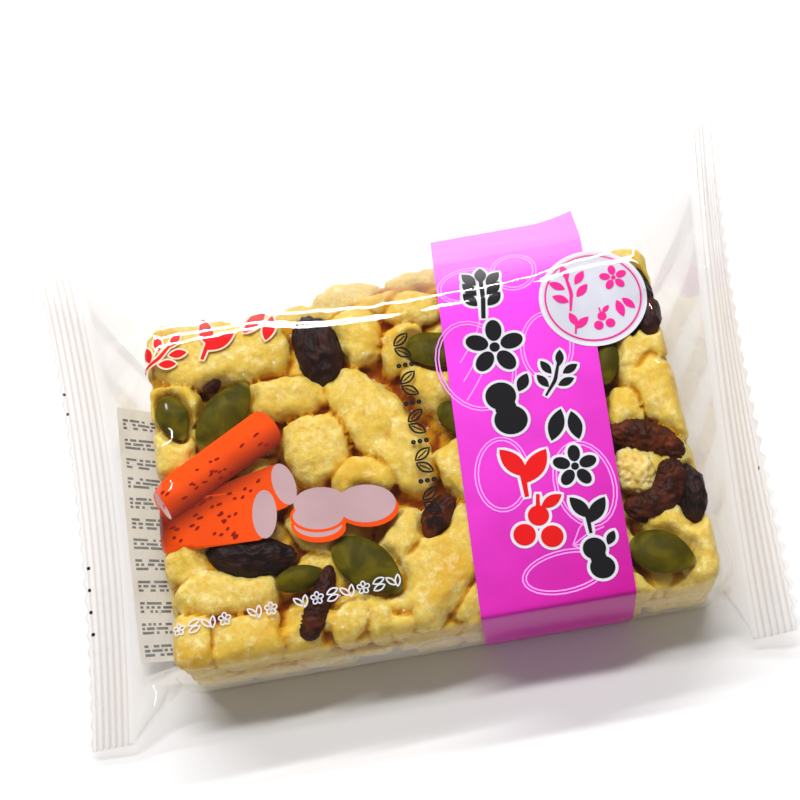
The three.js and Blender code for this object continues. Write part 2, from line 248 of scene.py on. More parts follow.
def noise_at(points, size, seed):
    """Smooth noise from -1 to 1 at each point, with lumps of about the given size."""
    shift = Vector((seed * 17.3, seed * 5.1, seed * 9.7))
    return np.array([noise.noise(Vector(p) / size + shift) for p in points])


def creases_at(points, layers, seed):
    """Layers of noise folded to one side, each with its depth, its size and its own start."""
    return sum(depth * np.abs(noise_at(points, size, seed + start)) for depth, size, start in layers)


# Materials

# Colours are the 0 to 255 values of a screen. The dough's go from its skin down into its hollows, where painted
# glow and painted shade darken them.
DOUGH_TONES = ((236, 216, 128), (230, 205, 96))
CRUMB_TONES = ((248, 230, 170), (238, 212, 132))
RIPE_DOUGH = (230, 198, 72)
SYRUP_POOL = (222, 172, 26)
DOUGH_GRAIN = (224, 186, 72)
SUGAR_FROST = (254, 246, 196)
# The amber of the hollows is partly syrup and partly painted glow, which stands in for light shining through the
# dough. The deep brown below it is painted shade.
HOLLOW_SYRUP_AND_GLOW = (210, 150, 14)
PAINTED_HOLLOW_SHADE = (146, 66, 0)
# White sugar crystals, painted bright as glints
PAINTED_SUGAR_GLINT = (255, 250, 220)
DARK_RAISIN = ((22, 13, 16), (46, 26, 24))
RED_RAISIN = ((58, 22, 8), (108, 46, 12))
SEED_GREENS = ((66, 60, 0), (102, 90, 4))
SEED_EDGE = (178, 172, 70)
FLOOR_TONES = ((244, 243, 244), (250, 249, 250))
# The film's own colours are shares of the light that it lets through or throws back
CLEAR_FILM = (0.99, 0.988, 0.985, 1)
# Along the seals' crimp lines the film is darkened as painted shade, which stands in for the light that the
# crimps bend and shade.
CRIMP_PAINTED_SHADE = (0.88, 0.845, 0.82, 1)
MILKY_FILM = (0.88, 0.85, 0.82, 1)
FILM_SHINE = 0.6
FILM_SHINE_AT_MOST = 0.25
# Each ink's slot, its colour, and the one that it goes over to where its fade attribute says. On the roots that
# is printed shading; on the band the first colour is paled by a painted reflection and the second is deepened by
# painted shade.
INKS = {
    "magenta_ink": ("print_magenta", (255, 84, 250), (204, 24, 158)),
    "label_paper": ("print_white", (238, 235, 230)),
    "grey_ink": ("print_dark", (104, 102, 100)),
    "pale_pink_ink": ("print_white", (250, 160, 246)),
    "white_ink": ("print_white", (226, 226, 234)),
    "black_ink": ("print_dark", (22, 20, 26)),
    "red_ink": ("print_red", (226, 20, 22)),
    "halo_ink": ("print_white", (250, 226, 200)),
    "badge_ink": ("print_white", (214, 214, 226)),
    "rose_ink": ("print_magenta", (240, 40, 150)),
    "orange_ink": ("print_orange", (255, 86, 6), (108, 14, 2)),
    "cut_ink": ("print_white", (196, 164, 168)),
    "brown_ink": ("print_dark", (140, 24, 4)),
}


def new_material(name):
    """A material with its nodes cleared, a function that adds nodes to it, and the place on the piece."""
    material = bpy.data.materials.new(name)
    material.use_nodes = True
    tree = material.node_tree
    tree.nodes.clear()

    def node(kind, links=None, **values):
        made = tree.nodes.new("ShaderNode" + kind)
        for key, value in values.items():
            setattr(made, key, value)
        for socket, value in (links or {}).items():
            target = made.inputs[socket]
            if isinstance(value, bpy.types.NodeSocket):
                tree.links.new(value, target)
            else:
                target.default_value = value
        return made

    return material, node, node("TexCoord").outputs["Object"]


def srgb(colour):
    """A linear colour from the 0 to 255 values of a screen colour."""
    shares = [value / 255 for value in colour]
    return (*(s / 12.92 if s <= 0.04045 else ((s + 0.055) / 1.055) ** 2.4 for s in shares), 1)


def attribute(node, name):
    return node("Attribute", attribute_name=name).outputs["Fac"]


def clouds(node, place, scale, detail, roughness=0.5, distortion=0.0):
    """Soft noise from 0 to 1."""
    return node("TexNoise", {"Vector": place, "Scale": scale, "Detail": detail, "Roughness": roughness,
                             "Distortion": distortion}).outputs["Fac"]


def bumps(node, height, strength, distance, under=None):
    """The normals of a relief, laid over those of another if there is one."""
    links = {"Height": height, "Strength": strength, "Distance": distance}
    if under is not None:
        links["Normal"] = under
    return node("Bump", links).outputs[0]


def calculated(node, operation, first, second):
    return node("Math", {0: first, 1: second}, operation=operation).outputs[0]


def mix_colour(node, share, first, second):
    """A mix of two colours, each a socket or screen values, as a socket."""
    mix = node("Mix", data_type="RGBA")
    tree = mix.id_data
    for index, value in ((0, share), (6, first), (7, second)):
        if isinstance(value, bpy.types.NodeSocket):
            tree.links.new(value, mix.inputs[index])
        else:
            mix.inputs[index].default_value = srgb(value) if len(value) == 3 else value
    return mix.outputs[2]


def ramp(node, share, low, high):
    """A smooth step from 0 to 1 as the share goes from low to high."""
    limits = {"Value": share, "From Min": low, "From Max": high}
    return node("MapRange", limits, interpolation_type="SMOOTHSTEP").outputs["Result"]


def show(node, shader):
    """Sends a shader to the material's output."""
    node("OutputMaterial", {"Surface": shader.outputs[0]})


def show_skin(node, colour, roughness, specular, normal, **more):
    """A surface of one kind all over, with a colour, roughness and relief that may vary."""
    sockets = {"Base Color": colour, "Roughness": roughness, "Specular IOR Level": specular, "Normal": normal}
    sockets.update({key.replace("_", " "): value for key, value in more.items()})
    show(node, node("BsdfPrincipled", sockets))


def dough_material(name, pale_tones):
    """Puffed egg dough in syrup: pale yellow with golden pools and a frost of sugar, amber with syrup and
    painted glow in its hollows and darkest there with painted shade, and with white sugar crystals painted
    bright as glints.
    """
    material, node, place = new_material(name)
    cavity = attribute(node, "cavity")
    patches = clouds(node, place, 150, 4, 0.6)
    pools = clouds(node, place, 75, 2)
    grain = clouds(node, place, 1100, 3, 0.65)
    frost = clouds(node, place, 420, 6, 0.75)
    colour = mix_colour(node, ramp(node, patches, 0.35, 0.65), *pale_tones)
    # The cavity attribute paints glow and shade into the hollows
    for share, low, high, tone in ((attribute(node, "tint"), 0.35, 1, RIPE_DOUGH),
                                   (pools, 0.54, 0.72, SYRUP_POOL),
                                   (grain, 0.75, 0.25, DOUGH_GRAIN),
                                   (frost, 0.47, 0.82, SUGAR_FROST),
                                   (cavity, 0.08, 0.42, HOLLOW_SYRUP_AND_GLOW),
                                   (cavity, 0.35, 0.85, PAINTED_HOLLOW_SHADE)):
        colour = mix_colour(node, ramp(node, share, low, high), colour, tone)
    # Tiny sugar crystals painted near white as glints, mostly where the frost is
    sugar = node("TexVoronoi", {"Vector": place, "Scale": 900})
    which = node("SeparateColor", {"Color": sugar.outputs["Color"]}).outputs[0]
    crystal_glints = calculated(node, "MULTIPLY", ramp(node, sugar.outputs["Distance"], 0.3, 0.12),
                          ramp(node, which, 0.8, 0.92))
    painted_glints = calculated(node, "MULTIPLY", crystal_glints, ramp(node, frost, 0.45, 0.6))
    colour = mix_colour(node, painted_glints, colour, PAINTED_SUGAR_GLINT)
    dull = node("MapRange", {"Value": cavity, "From Max": 0.6, "To Min": 0.36, "To Max": 0.75}).outputs[0]
    relief = bumps(node, frost, 0.5, 0.0007, bumps(node, grain, 0.5, 0.0003))
    show_skin(node, colour, dull, 0.24, relief, Subsurface_Weight=0.75, Subsurface_Radius=(1, 0.74, 0.24),
              Subsurface_Scale=0.002)
    return material


def raisin_material():
    """Dark wrinkled skin, which goes over to red-brown where its brown attribute says."""
    material, node, place = new_material("raisin")
    blotches = ramp(node, clouds(node, place, 420, 4), 0.4, 0.75)
    dark = mix_colour(node, blotches, *DARK_RAISIN)
    red = mix_colour(node, blotches, *RED_RAISIN)
    colour = mix_colour(node, attribute(node, "brown"), dark, red)
    show_skin(node, colour, 0.45, 0.2, bumps(node, clouds(node, place, 1800, 2), 0.4, 0.0002))
    return material


def seed_material():
    """Streaked dark green, paler along the rim."""
    material, node, place = new_material("pumpkin_seed")
    streaks = clouds(node, place, 260, 5, distortion=0.6)
    green = mix_colour(node, ramp(node, streaks, 0.35, 0.7), *SEED_GREENS)
    colour = mix_colour(node, attribute(node, "edge"), green, SEED_EDGE)
    show_skin(node, colour, 0.5, 0.12, bumps(node, streaks, 0.25, 0.0003))
    return material


def film_material():
    """Thin clear film, milky where its attribute says, which also greys the near rise as a sheet standing in for
    shade and whitens the far slope with painted glare, and with painted shade along the seals' crimp lines.
    """
    material, node, place = new_material("clear_film")
    ripples = bumps(node, clouds(node, place, 90, 2), 0.12, 0.001)
    shine = node("Fresnel", {"IOR": 1.5, "Normal": ripples}).outputs[0]
    held = calculated(node, "MINIMUM", calculated(node, "MULTIPLY", shine, FILM_SHINE), FILM_SHINE_AT_MOST)
    # Painted shade darkens the clear film along the crimp lines.
    shaded_glass = mix_colour(node, attribute(node, "crimp"), CLEAR_FILM, CRIMP_PAINTED_SHADE)
    clear = node("BsdfTransparent", {"Color": shaded_glass})
    milky = node("BsdfDiffuse", {"Color": MILKY_FILM})
    gloss = node("BsdfGlossy", {"Color": (1, 1, 1, 1), "Roughness": 0.035, "Normal": ripples})
    body = node("MixShader", {0: attribute(node, "haze_and_painted_light"), 1: clear.outputs[0], 2: milky.outputs[0]})
    show(node, node("MixShader", {0: held, 1: body.outputs[0], 2: gloss.outputs[0]}))
    return material


def ink_material(name, colour, shaded_tone=None):
    """Printed ink, slightly uneven, going over to a second colour where its fade attribute says: printed shading
    on the roots, painted reflection and shade on the band.
    """
    material, node, place = new_material(name)
    mottle = clouds(node, place, 120, 4)
    shade = srgb(colour)
    if shaded_tone:
        shade = mix_colour(node, attribute(node, "fade"), colour, shaded_tone)
    thin = node("HueSaturation", {"Color": shade, "Value": 0.9}).outputs[0]
    uneven = mix_colour(node, ramp(node, mottle, 0.35, 0.7), shade, thin)
    show_skin(node, uneven, 0.55, 0.12, bumps(node, mottle, 0.1, 0.0005))
    return material


# The sweet

def nugget_layout(seed, shown):
    """Every nugget in one face of the block: the ones that show, then one in each free grid cell."""
    random = seeded_random(seed)
    nuggets = list(shown)
    columns = math.floor(BLOCK_LENGTH / FILL_CELL_X)
    rows = math.floor(BLOCK_DEPTH / FILL_CELL_Y)
    for row in range(rows):
        for column in range(columns):
            x = ((column + 0.5) / columns - 0.5) * BLOCK_LENGTH + (random() - 0.5) * 2 * FILL_JITTER
            y = ((row + 0.5) / rows - 0.5) * BLOCK_DEPTH + (random() - 0.5) * 2 * FILL_JITTER
            direction = math.degrees(random() * math.pi)
            nugget = (x, y, direction, some(random, FILL_LENGTH), some(random, FILL_WIDTH))
            if all(math.hypot(other[0] - x, other[1] - y) > FILL_CLEARANCE for other in nuggets):
                nuggets.append(nugget)
    return nuggets


def pressed(points):
    """Points held inside the block's rounded box, as pressed food is."""
    half = np.array([BLOCK_LENGTH / 2, BLOCK_DEPTH / 2, BLOCK_HEIGHT / 2]) - BLOCK_EDGE_RADIUS
    centre = np.array([0, 0, BLOCK_HEIGHT / 2])
    local = points - centre
    over = np.abs(local) - half
    outside = np.maximum(over, 0)
    distance = np.linalg.norm(outside, axis=1)
    excess = np.maximum(distance - BLOCK_EDGE_RADIUS, 0)
    share = np.where(distance > 0, excess / np.maximum(distance, 1e-9), 0)
    return points - np.sign(local) * outside * share[:, None]


# A nugget's shell, how square its pillow is and how much wider it is than its place
NUGGET_BALL = ball(4)
NUGGET_POWER = 3
NUGGET_SWELL = 1.1
NUGGET_SEED = 23
SWEET_VOXEL = 0.53
CORE_INSET = np.array([5, 5, 4.5])
# The seams between nuggets
SEAM_WIDTH = 0.35
SEAM_DEPTH = 0.7
# Sizes of the lumps in a nugget's form, and of the puffs and pores in its skin
BROAD_LUMP, SMALL_LUMP = 5, 2.6
BROAD_PUFF, SMALL_PUFF, PORE = 3.4, 1.7, 0.9
CAVITY_ROUNDS = 60
CAVITY_DEPTH = 1.3
# The beds of seeds and raisins: their depth in widths, how steeply they rise and how far out they reach
BED_DEPTH = 0.55
BED_SLOPE = 6
BED_REACH = 2.2
BENT_BED_SLOPE = 5
BENT_BED_REACH = 2.4
# How far the sweet stays above the film under it
UNDERSIDE_CLEARANCE = 0.35


def pillow_distance(points):
    """How far out each point is, counted in sizes of a pillow that reaches 1 along each axis."""
    return (np.abs(points) ** NUGGET_POWER).sum(axis=1) ** (1 / NUGGET_POWER)


def nugget_shape(nugget, seed, within_block=True):
    """One puffed nugget: a fat pillow with soft corners and a lumpy skin."""
    centre, direction, lean, size = nugget
    points, faces = NUGGET_BALL
    shaped = points / pillow_distance(points)[:, None]
    taper = 1 + 0.15 * math.sin(seed * 2.3) * shaped[:, :1]
    shaped = shaped * np.array(size) / 2 * np.hstack([np.ones_like(taper), taper, taper])
    shaped[:, 1] += 0.01 * math.sin(seed * 4.1) * shaped[:, 0] ** 2
    lumps = 0.9 * noise_at(shaped, BROAD_LUMP, seed) + 0.5 * noise_at(shaped, SMALL_LUMP, seed + 5)
    shaped += points * lumps[:, None]
    shaped = rotated(tilted(shaped, lean), direction) + np.array(centre)
    return (pressed(shaped) if within_block else shaped), faces


def side_nuggets(random):
    """Nuggets along the block's four sides, below those of its top."""
    nuggets = []
    inset = BLOCK_EDGE_RADIUS
    sink = BLOCK_EDGE_RADIUS + 0.6

    def size():
        return some(random, SIDE_NUGGET_LENGTH), SIDE_NUGGET_WIDTH, some(random, SIDE_NUGGET_HEIGHT)

    for level in SIDE_NUGGET_LEVELS:
        for side in (-1, 1):
            for x in np.arange(inset - BLOCK_LENGTH / 2, BLOCK_LENGTH / 2, SIDE_NUGGET_PITCH):
                centre = (x + 2 * random(), side * (BLOCK_DEPTH / 2 - sink - random()), level + 2 * random())
                nuggets.append((centre, 40 * (random() - 0.5), 90 * random(), size()))
            for y in np.arange(inset - BLOCK_DEPTH / 2, BLOCK_DEPTH / 2, SIDE_NUGGET_PITCH):
                centre = (side * (BLOCK_LENGTH / 2 - sink - random()), y + 2 * random(), level + 2 * random())
                shape = size()
                nuggets.append((centre, 90 + 40 * (random() - 0.5), 90 * random(), shape))
    return nuggets


def all_nuggets():
    """The nuggets of the top, the underside and the four sides: centre, direction, lean and size."""
    random = seeded_random(NUGGET_SEED)
    nuggets = []
    layout = nugget_layout(FILL_SEED, NUGGETS_THAT_SHOW)
    for index, (x, y, direction, length, width) in enumerate(layout):
        height = some(random, TOP_NUGGET_HEIGHT)
        shows = index < len(NUGGETS_THAT_SHOW)
        top = BLOCK_HEIGHT + (0.6 - 0.8 * random() if shows else -1 - 1.4 * random())
        size = (length * 1.04, width * NUGGET_SWELL, height)
        nuggets.append(((x, y, top - height / 2), direction, 10 * (random() - 0.5), size))
    for x, y, direction, length, width in nugget_layout(FILL_SEED + 1, []):
        height = some(random, LOWER_NUGGET_HEIGHT)
        size = (length * 1.05, width * NUGGET_SWELL, height)
        nuggets.append(((x, y, height / 2 - 0.4 * random()), direction, 0, size))
    return nuggets + side_nuggets(random)


def far_nuggets():
    return [((x, y, FAR_NUGGET_TOP - FAR_NUGGET_HEIGHT / 2), direction, 0, (length, width, FAR_NUGGET_HEIGHT))
            for x, y, direction, length, width in FAR_NUGGETS]


def core_shape():
    """What fills the block between its nuggets."""
    points, faces = ball(3)
    core = np.sign(points) * np.abs(points) ** 0.3
    inside = np.array([BLOCK_LENGTH / 2, BLOCK_DEPTH / 2, BLOCK_HEIGHT / 2]) - CORE_INSET
    return core * inside + np.array([0, 0, BLOCK_HEIGHT / 2]), faces


def seams(points, nuggets):
    """How close each point is to where two nuggets meet, from 0 to 1, and which nugget it is on."""
    first = np.full(len(points), 1e9)
    second = np.full(len(points), 1e9)
    owner = np.zeros(len(points), int)
    for index, (centre, direction, lean, size) in enumerate(nuggets):
        local = tilted(rotated(points - np.array(centre), -direction), -lean) / (np.array(size) / 2)
        distance = pillow_distance(local) - 1
        distance *= min(size) / 2
        nearer = distance < first
        second = np.where(nearer, first, np.minimum(second, distance))
        owner[nearer] = index
        first = np.minimum(first, distance)
    return np.exp(-((second - first) / SEAM_WIDTH) ** 2), owner


def nested(points):
    """Points of the sweet's top pushed down to make room for each seed and raisin."""
    points = points.copy()

    def push_down(near, ceiling):
        near = near & (points[:, 2] > BLOCK_HEIGHT / 2)
        points[near, 2] = np.minimum(points[near, 2], ceiling[near])

    for path, _ in BENT_RAISINS:
        for x, y, width in path:
            far = np.hypot(points[:, 0] - x, points[:, 1] - y) / (width / 2)
            push_down(far < BENT_BED_REACH, BLOCK_HEIGHT - 1.2 + BENT_BED_SLOPE * np.maximum(far - 1, 0))
    for x, y, direction, length, width, stands_up in SEEDS + RAISINS:
        local = rotated(points - np.array([x, y, 0]), -direction)
        share = np.hypot(local[:, 0] / (length / 2), local[:, 1] / (width / 2))
        bed = BLOCK_HEIGHT + stands_up - BED_DEPTH * min(width, 5)
        push_down(share < BED_REACH, bed + BED_SLOPE * np.maximum(share - 1.02, 0) ** 0.8)
    return points


def remeshed(piece, size):
    """Replaces a piece's overlapping shells by one skin."""
    remesh = piece.modifiers.new("skin", "REMESH")
    remesh.mode = "VOXEL"
    remesh.voxel_size = size * MM
    bpy.context.view_layer.update()
    skin = bpy.data.meshes.new_from_object(piece.evaluated_get(bpy.context.evaluated_depsgraph_get()))
    piece.modifiers.clear()
    old = piece.data
    piece.data = skin
    skin.name = old.name
    bpy.data.meshes.remove(old)


def mesh_arrays(piece):
    """A piece's points in millimetres, its edges, and the normal at each point."""
    mesh = piece.data
    points = np.empty(len(mesh.vertices) * 3)
    mesh.vertices.foreach_get("co", points)
    edges = np.empty(len(mesh.edges) * 2, int)
    mesh.edges.foreach_get("vertices", edges)
    normals = np.empty(len(mesh.vertices) * 3)
    mesh.vertices.foreach_get("normal", normals)
    return points.reshape(-1, 3) / MM, edges.reshape(-1, 2), normals.reshape(-1, 3)


def triangles_of(piece):
    """A piece's points in millimetres, and its faces with each quad cut in two."""
    corners = [list(face.vertices) for face in piece.data.polygons]
    halves = [[face[0], face[2], face[3]] for face in corners if len(face) == 4]
    return mesh_arrays(piece)[0], np.array([face[:3] for face in corners] + halves)


def smoothed(points, edges, rounds, share=0.5):
    """Points drawn towards the average of their neighbours."""
    count = np.bincount(edges.ravel(), minlength=len(points))[:, None]
    for _ in range(rounds):
        total = np.zeros_like(points)
        for axis in range(3):
            total[:, axis] = (np.bincount(edges[:, 0], points[edges[:, 1], axis], len(points))
                              + np.bincount(edges[:, 1], points[edges[:, 0], axis], len(points)))
        points = points + share * (total / np.maximum(count, 1) - points)
    return points


def set_points(piece, points):
    piece.data.vertices.foreach_set("co", (points * MM).ravel())
    piece.data.update()


def set_attribute(piece, name, values):
    attribute = piece.data.attributes.new(name, "FLOAT", "POINT")
    attribute.data.foreach_set("value", np.asarray(values, np.float32))


def make_sweet(material):
    """The block of nuggets, stuck together by syrup into one lumpy skin."""
    nuggets = all_nuggets()
    shapes = [nugget_shape(nugget, seed) for seed, nugget in enumerate(nuggets)]
    shapes += [nugget_shape(nugget, seed + 7, False) for seed, nugget in enumerate(far_nuggets())]
    nuggets += far_nuggets()
    points, faces = joined(shapes + [core_shape()])
    piece = new_piece("sachima_block", points, faces, material)
    remeshed(piece, SWEET_VOXEL)
    points, edges, normals = mesh_arrays(piece)
    seam, owner = seams(points, nuggets)
    points = nested(points - normals * SEAM_DEPTH * seam[:, None])
    points = smoothed(points, edges, 2)
    set_points(piece, points)
    points, edges, normals = mesh_arrays(piece)
    broad = smoothed(points, edges, CAVITY_ROUNDS)
    cavity = np.einsum("ij,ij->i", broad - points, normals)
    puffs = creases_at(points, ((0.6, BROAD_PUFF, 3), (0.35, SMALL_PUFF, 5)), 0) - 0.2
    lumps = puffs + 0.06 * noise_at(points, PORE, 6) - 0.35 * np.clip(cavity, 0, 1)
    lumpy = points + normals * lumps[:, None]
    bulge = points[:, 1] > BLOCK_DEPTH / 2 - BLOCK_EDGE_RADIUS
    points = np.where(bulge[:, None], lumpy, pressed(lumpy))
    points[:, 2] = np.maximum(points[:, 2], UNDERSIDE_CLEARANCE)
    set_points(piece, points)
    # The cavity attribute marks how deep each point lies in a hollow. The dough material darkens it there with
    # painted shade and glow.
    set_attribute(piece, "cavity", np.clip(cavity / CAVITY_DEPTH + 0.25 * seam - 0.5 * puffs, 0, 1))
    tints = np.array([seeded_random(seed + 40)() for seed in range(len(nuggets))])
    set_attribute(piece, "tint", 0.6 * tints[owner] + 0.2 + 0.3 * noise_at(points, 9, 8))
    piece.data.polygons.foreach_set("use_smooth", [True] * len(piece.data.polygons))
    return piece


def make_crumb(material):
    """A loose crumb of dough that the long raisin curls round."""
    x, y, direction, length, width = CRUMB
    points, faces = ball(5)
    shaped = points * np.array([length / 2, width / 2, CRUMB_HEIGHT / 2])
    rough = 0.5 * noise_at(shaped, 2, 4) + 0.4 * noise_at(shaped, 0.8, 6)
    shaped = rotated(shaped + points * rough[:, None], direction)
    shaped[:, 2] += BLOCK_HEIGHT + 0.3 - shaped[:, 2].max()
    piece = new_piece("crumb", shaped + np.array([x, y, 0]), faces, material)
    set_attribute(piece, "tint", np.zeros(len(points)))
    # The crumb's hollows get the same painted shade and glow.
    set_attribute(piece, "cavity", np.clip(-rough, 0, 1) * 0.5)
    return piece


def raisin(x, y, direction, length, width, stands_up, seed):
    """A raisin: a bent, flattened berry, wrinkled along its length."""
    points, faces = ball(5)
    height = width * RAISIN_FLATNESS
    shaped = points * np.array([length, width, height]) / 2
    stretched = shaped * np.array([0.45, 1, 1])
    wrinkles = creases_at(stretched, ((-0.75, 1.5, 0), (-0.25, 0.7, 2)), seed)
    shaped = shaped + points * (wrinkles[:, None] + 0.35)
    shaped[:, 1] += (0.012 if seed % 2 else -0.01) * shaped[:, 0] ** 2
    shaped = rotated(tilted(shaped, 8 * math.sin(seed)), direction)
    shaped[:, 2] += BLOCK_HEIGHT + stands_up - shaped[:, 2].max()
    return shaped + np.array([x, y, 0]), faces


def bent_raisin(path, seed):
    """A long raisin along a bent path, with ridges that run along it."""
    path = np.array(path, float)
    steps, sides = 90, 48
    t = np.linspace(0, len(path) - 1, steps)
    along = np.stack([np.interp(t, range(len(path)), path[:, k]) for k in (0, 1, 2)], 1)
    for _ in range(24):
        along[1:-1, :2] = (along[:-2, :2] + along[2:, :2]) / 2
    ahead = unit(np.gradient(along[:, :2], axis=0))
    share = np.linspace(-1, 1, steps)
    half = along[:, 2] / 2 * np.sqrt(np.maximum(1 - np.abs(share) ** 5, 0.001))
    angles = np.linspace(0, 2 * math.pi, sides, endpoint=False)
    across = np.cos(angles) * half[:, None]
    up = np.sin(angles) * half[:, None] * BENT_RAISIN_FLATNESS
    points = np.stack([along[:, :1] - ahead[:, 1:] * across, along[:, 1:2] + ahead[:, :1] * across, up], 2)
    points = points.reshape(-1, 3)
    middle = np.repeat(np.hstack([along[:, :2], np.zeros((steps, 1))]), sides, axis=0)
    out = unit(points - middle)
    place = [np.repeat(share * 5, sides), out[:, 2] * 3 + seed, np.tile(np.cos(angles) * 3, steps)]
    place = np.stack(place, 1)
    wrinkles = creases_at(place, ((-0.8, 1.1, 0),), seed) + creases_at(points, ((-0.35, 0.9, 3),), seed)
    points += out * (wrinkles[:, None] + 0.35) * np.repeat(np.minimum(half / 1.5, 1), sides)[:, None]
    points[:, 2] += BLOCK_HEIGHT + 0.2 - points[:, 2].max()
    pairs = [(k * sides + i, k * sides + (i + 1) % sides) for k in range(steps - 1) for i in range(sides)]
    triangles = [(a, b, b + sides) for a, b in pairs] + [(a, b + sides, a + sides) for a, b in pairs]
    return points, np.array(triangles)


def make_raisins(material):
    """All the raisins as one piece, each with its own brown."""
    shapes = [raisin(*values, seed) for seed, values in enumerate(RAISINS)]
    browns = list(RAISIN_BROWNS)
    for seed, (path, brown) in enumerate(BENT_RAISINS):
        shapes.append(bent_raisin(path, seed))
        browns.append(brown)
    points, faces = joined(shapes)
    piece = new_piece("raisins", points, faces, material)
    counts = [len(shape[0]) for shape in shapes]
    set_attribute(piece, "brown", np.repeat(browns, counts))
    return piece


SEED_BALL = ball(4)
# How wide a seed's pale rim and tips are, as shares of its half thickness and half length
SEED_RIM = 0.16
SEED_TIP = 0.14
SEED_RIM_PALENESS = 0.45


def pumpkin_seed(x, y, direction, length, width, stands_up, seed):
    """A pumpkin seed kernel: flat, rounded at one end, pointed at the other, with a narrow rim."""
    points, faces = SEED_BALL
    along = points[:, 0]
    point = 1 - 0.34 * np.maximum(along, 0) ** 1.5
    level = np.sign(points[:, 2]) * np.abs(points[:, 2]) ** 1.15
    across = points[:, 1] * width / 2 * point
    shaped = np.stack([along * length / 2, across, level * SEED_THICKNESS / 2 * point], 1)
    shaped[:, 2] += 0.12 * noise_at(shaped, 3, seed) - 0.006 * shaped[:, 0] ** 2
    lean = 12 * math.sin(seed * 1.9 + 0.6)
    shaped = rotated(tilted(shaped, lean), direction)
    shaped[:, 2] += BLOCK_HEIGHT + stands_up - shaped[:, 2].max()
    return shaped + np.array([x, y, 0]), faces


def make_seeds(material):
    """All the pumpkin seeds as one piece, with paler rims and tips."""
    shapes = [pumpkin_seed(*values, seed) for seed, values in enumerate(SEEDS)]
    points, faces = joined(shapes)
    piece = new_piece("pumpkin_seeds", points, faces, material)
    along, _, level = np.abs(SEED_BALL[0]).T
    rim = np.clip(1 - level / SEED_RIM, 0, 1)
    tip = np.clip((along - 1 + SEED_TIP) / SEED_TIP, 0, 1)
    set_attribute(piece, "edge", np.tile(np.maximum(rim, tip) * SEED_RIM_PALENESS, len(shapes)))
    return piece


# The film

TENT_HAZE = 0.06
SEAL_HAZE = 0.04
# On the near rise the milky sheet stands in for the shade on the block's near side.
NEAR_RISE_SHADE_SHEET = 0.28
# On the far slope the milky sheet is partly the film's haze and partly painted glare of the back lamp.
FAR_SLOPE_HAZE_AND_GLARE = 0.2
# The far slope is clear up to the first y, and as milky as it gets from the second; there the milkiness is
# partly painted glare
FAR_SLOPE_MILK_AND_GLARE = (25.5, 31)
# Above this height the near rise is clear; the first value is at the block's left end, the other at its right
NEAR_RISE_CLEAR = (13.5, 17)
NEAR_RISE_FADE = 1.4
# The near rise's painted shade sheet leaves the band clear, between these x, and is thinner to the right of it
BAND_AT_RISE = (4.6, 31.6)
BAND_SHADE_SHEET_FADE = 1.5
RIGHT_RISE_SHARE = 0.5
END_HAZE_AND_GLARE_FADE = 8

# How far out from a seal's inner edge its rings of film are
SEAL_OUTS = np.linspace(0, SEAL_WIDTH, SEAL_STATIONS + 1)[1:]
# The film's steps round each of its six folds, and along the run from each fold to the next
CORNER_STEPS = (6, 6, 36, 6, 6, 6)
RUN_STEPS = (12, 80, 18, 18, 110, 12)
HALF_RING = (sum(CORNER_STEPS) + sum(RUN_STEPS)) // 2
# The film's columns from the near edge of its top, over the far edge, to the start of the far slope
TOP_FROM = CORNER_STEPS[0] // 2 + RUN_STEPS[0] + CORNER_STEPS[1]
TOP_TO = TOP_FROM + RUN_STEPS[1] + CORNER_STEPS[2]
# The columns of the top lie closer together towards the far edge, where the two lit lines are
TOP_RUN = 1
FAR_CROWDING = 1.35
FAR_ROUNDING_AT_MOST = 9
# The far one of the two lit lines, where the film starts to slope down to the far fold
FAR_SLOPE_LINE = [(-26, 30), (-11, 27.9), (4.4, 26.6), (21, 26.2), (43, 30.3)]
SLOPE_LINE_SHARE = 0.63


def through(three, t):
    """A smooth value through three given ones, at the near end, middle and far end."""
    near, middle, far = three
    return (1 - t) * (1 - 2 * t) * near + 4 * t * (1 - t) * middle + t * (2 * t - 1) * far


def curve_at(points, degree, x):
    """The y at x of the smooth curve that fits the points best."""
    return np.polyval(np.polyfit(*np.transpose(points), degree), x)


def along_seal(y):
    """How far along the seals y is, from 0 to 1."""
    return np.clip((y - SEAL_NEAR_Y) / (SEAL_FAR_Y - SEAL_NEAR_Y), 0, 1)


def end_rounding(x):
    """How much the block's rounded end draws in at x."""
    past = max(0, abs(x) - (half_length - BLOCK_EDGE_RADIUS))
    return BLOCK_EDGE_RADIUS - math.sqrt(max(0, BLOCK_EDGE_RADIUS ** 2 - past ** 2))


def towards(start, end, distance):
    """The point a distance from the start, or less where the end is near."""
    return start + (end - start) * min(0.45, distance / max(np.linalg.norm(end - start), 1e-6))


def film_ring(folds, roundings):
    """A closed ring of film through six folds, from the middle of the near fold over the top and back."""
    corners = []
    for i, fold in enumerate(folds):
        t = np.linspace(0, 1, CORNER_STEPS[i] + 1)[:, None]
        start = towards(fold, folds[i - 1], roundings[i])
        end = towards(fold, folds[(i + 1) % 6], roundings[i])
        corners.append((1 - t) ** 2 * start + 2 * t * (1 - t) * fold + t ** 2 * end)
    ring = []
    for i, steps in enumerate(RUN_STEPS):
        share = np.linspace(0, 1, steps + 1)[1:-1, None]
        if i == TOP_RUN:
            share = 1 - (1 - share) ** FAR_CROWDING
        ring.append(corners[i])
        ring.append(corners[i][-1] * (1 - share) + corners[(i + 1) % 6][0] * share)
    return np.roll(np.concatenate(ring), -CORNER_STEPS[0] // 2, axis=0)


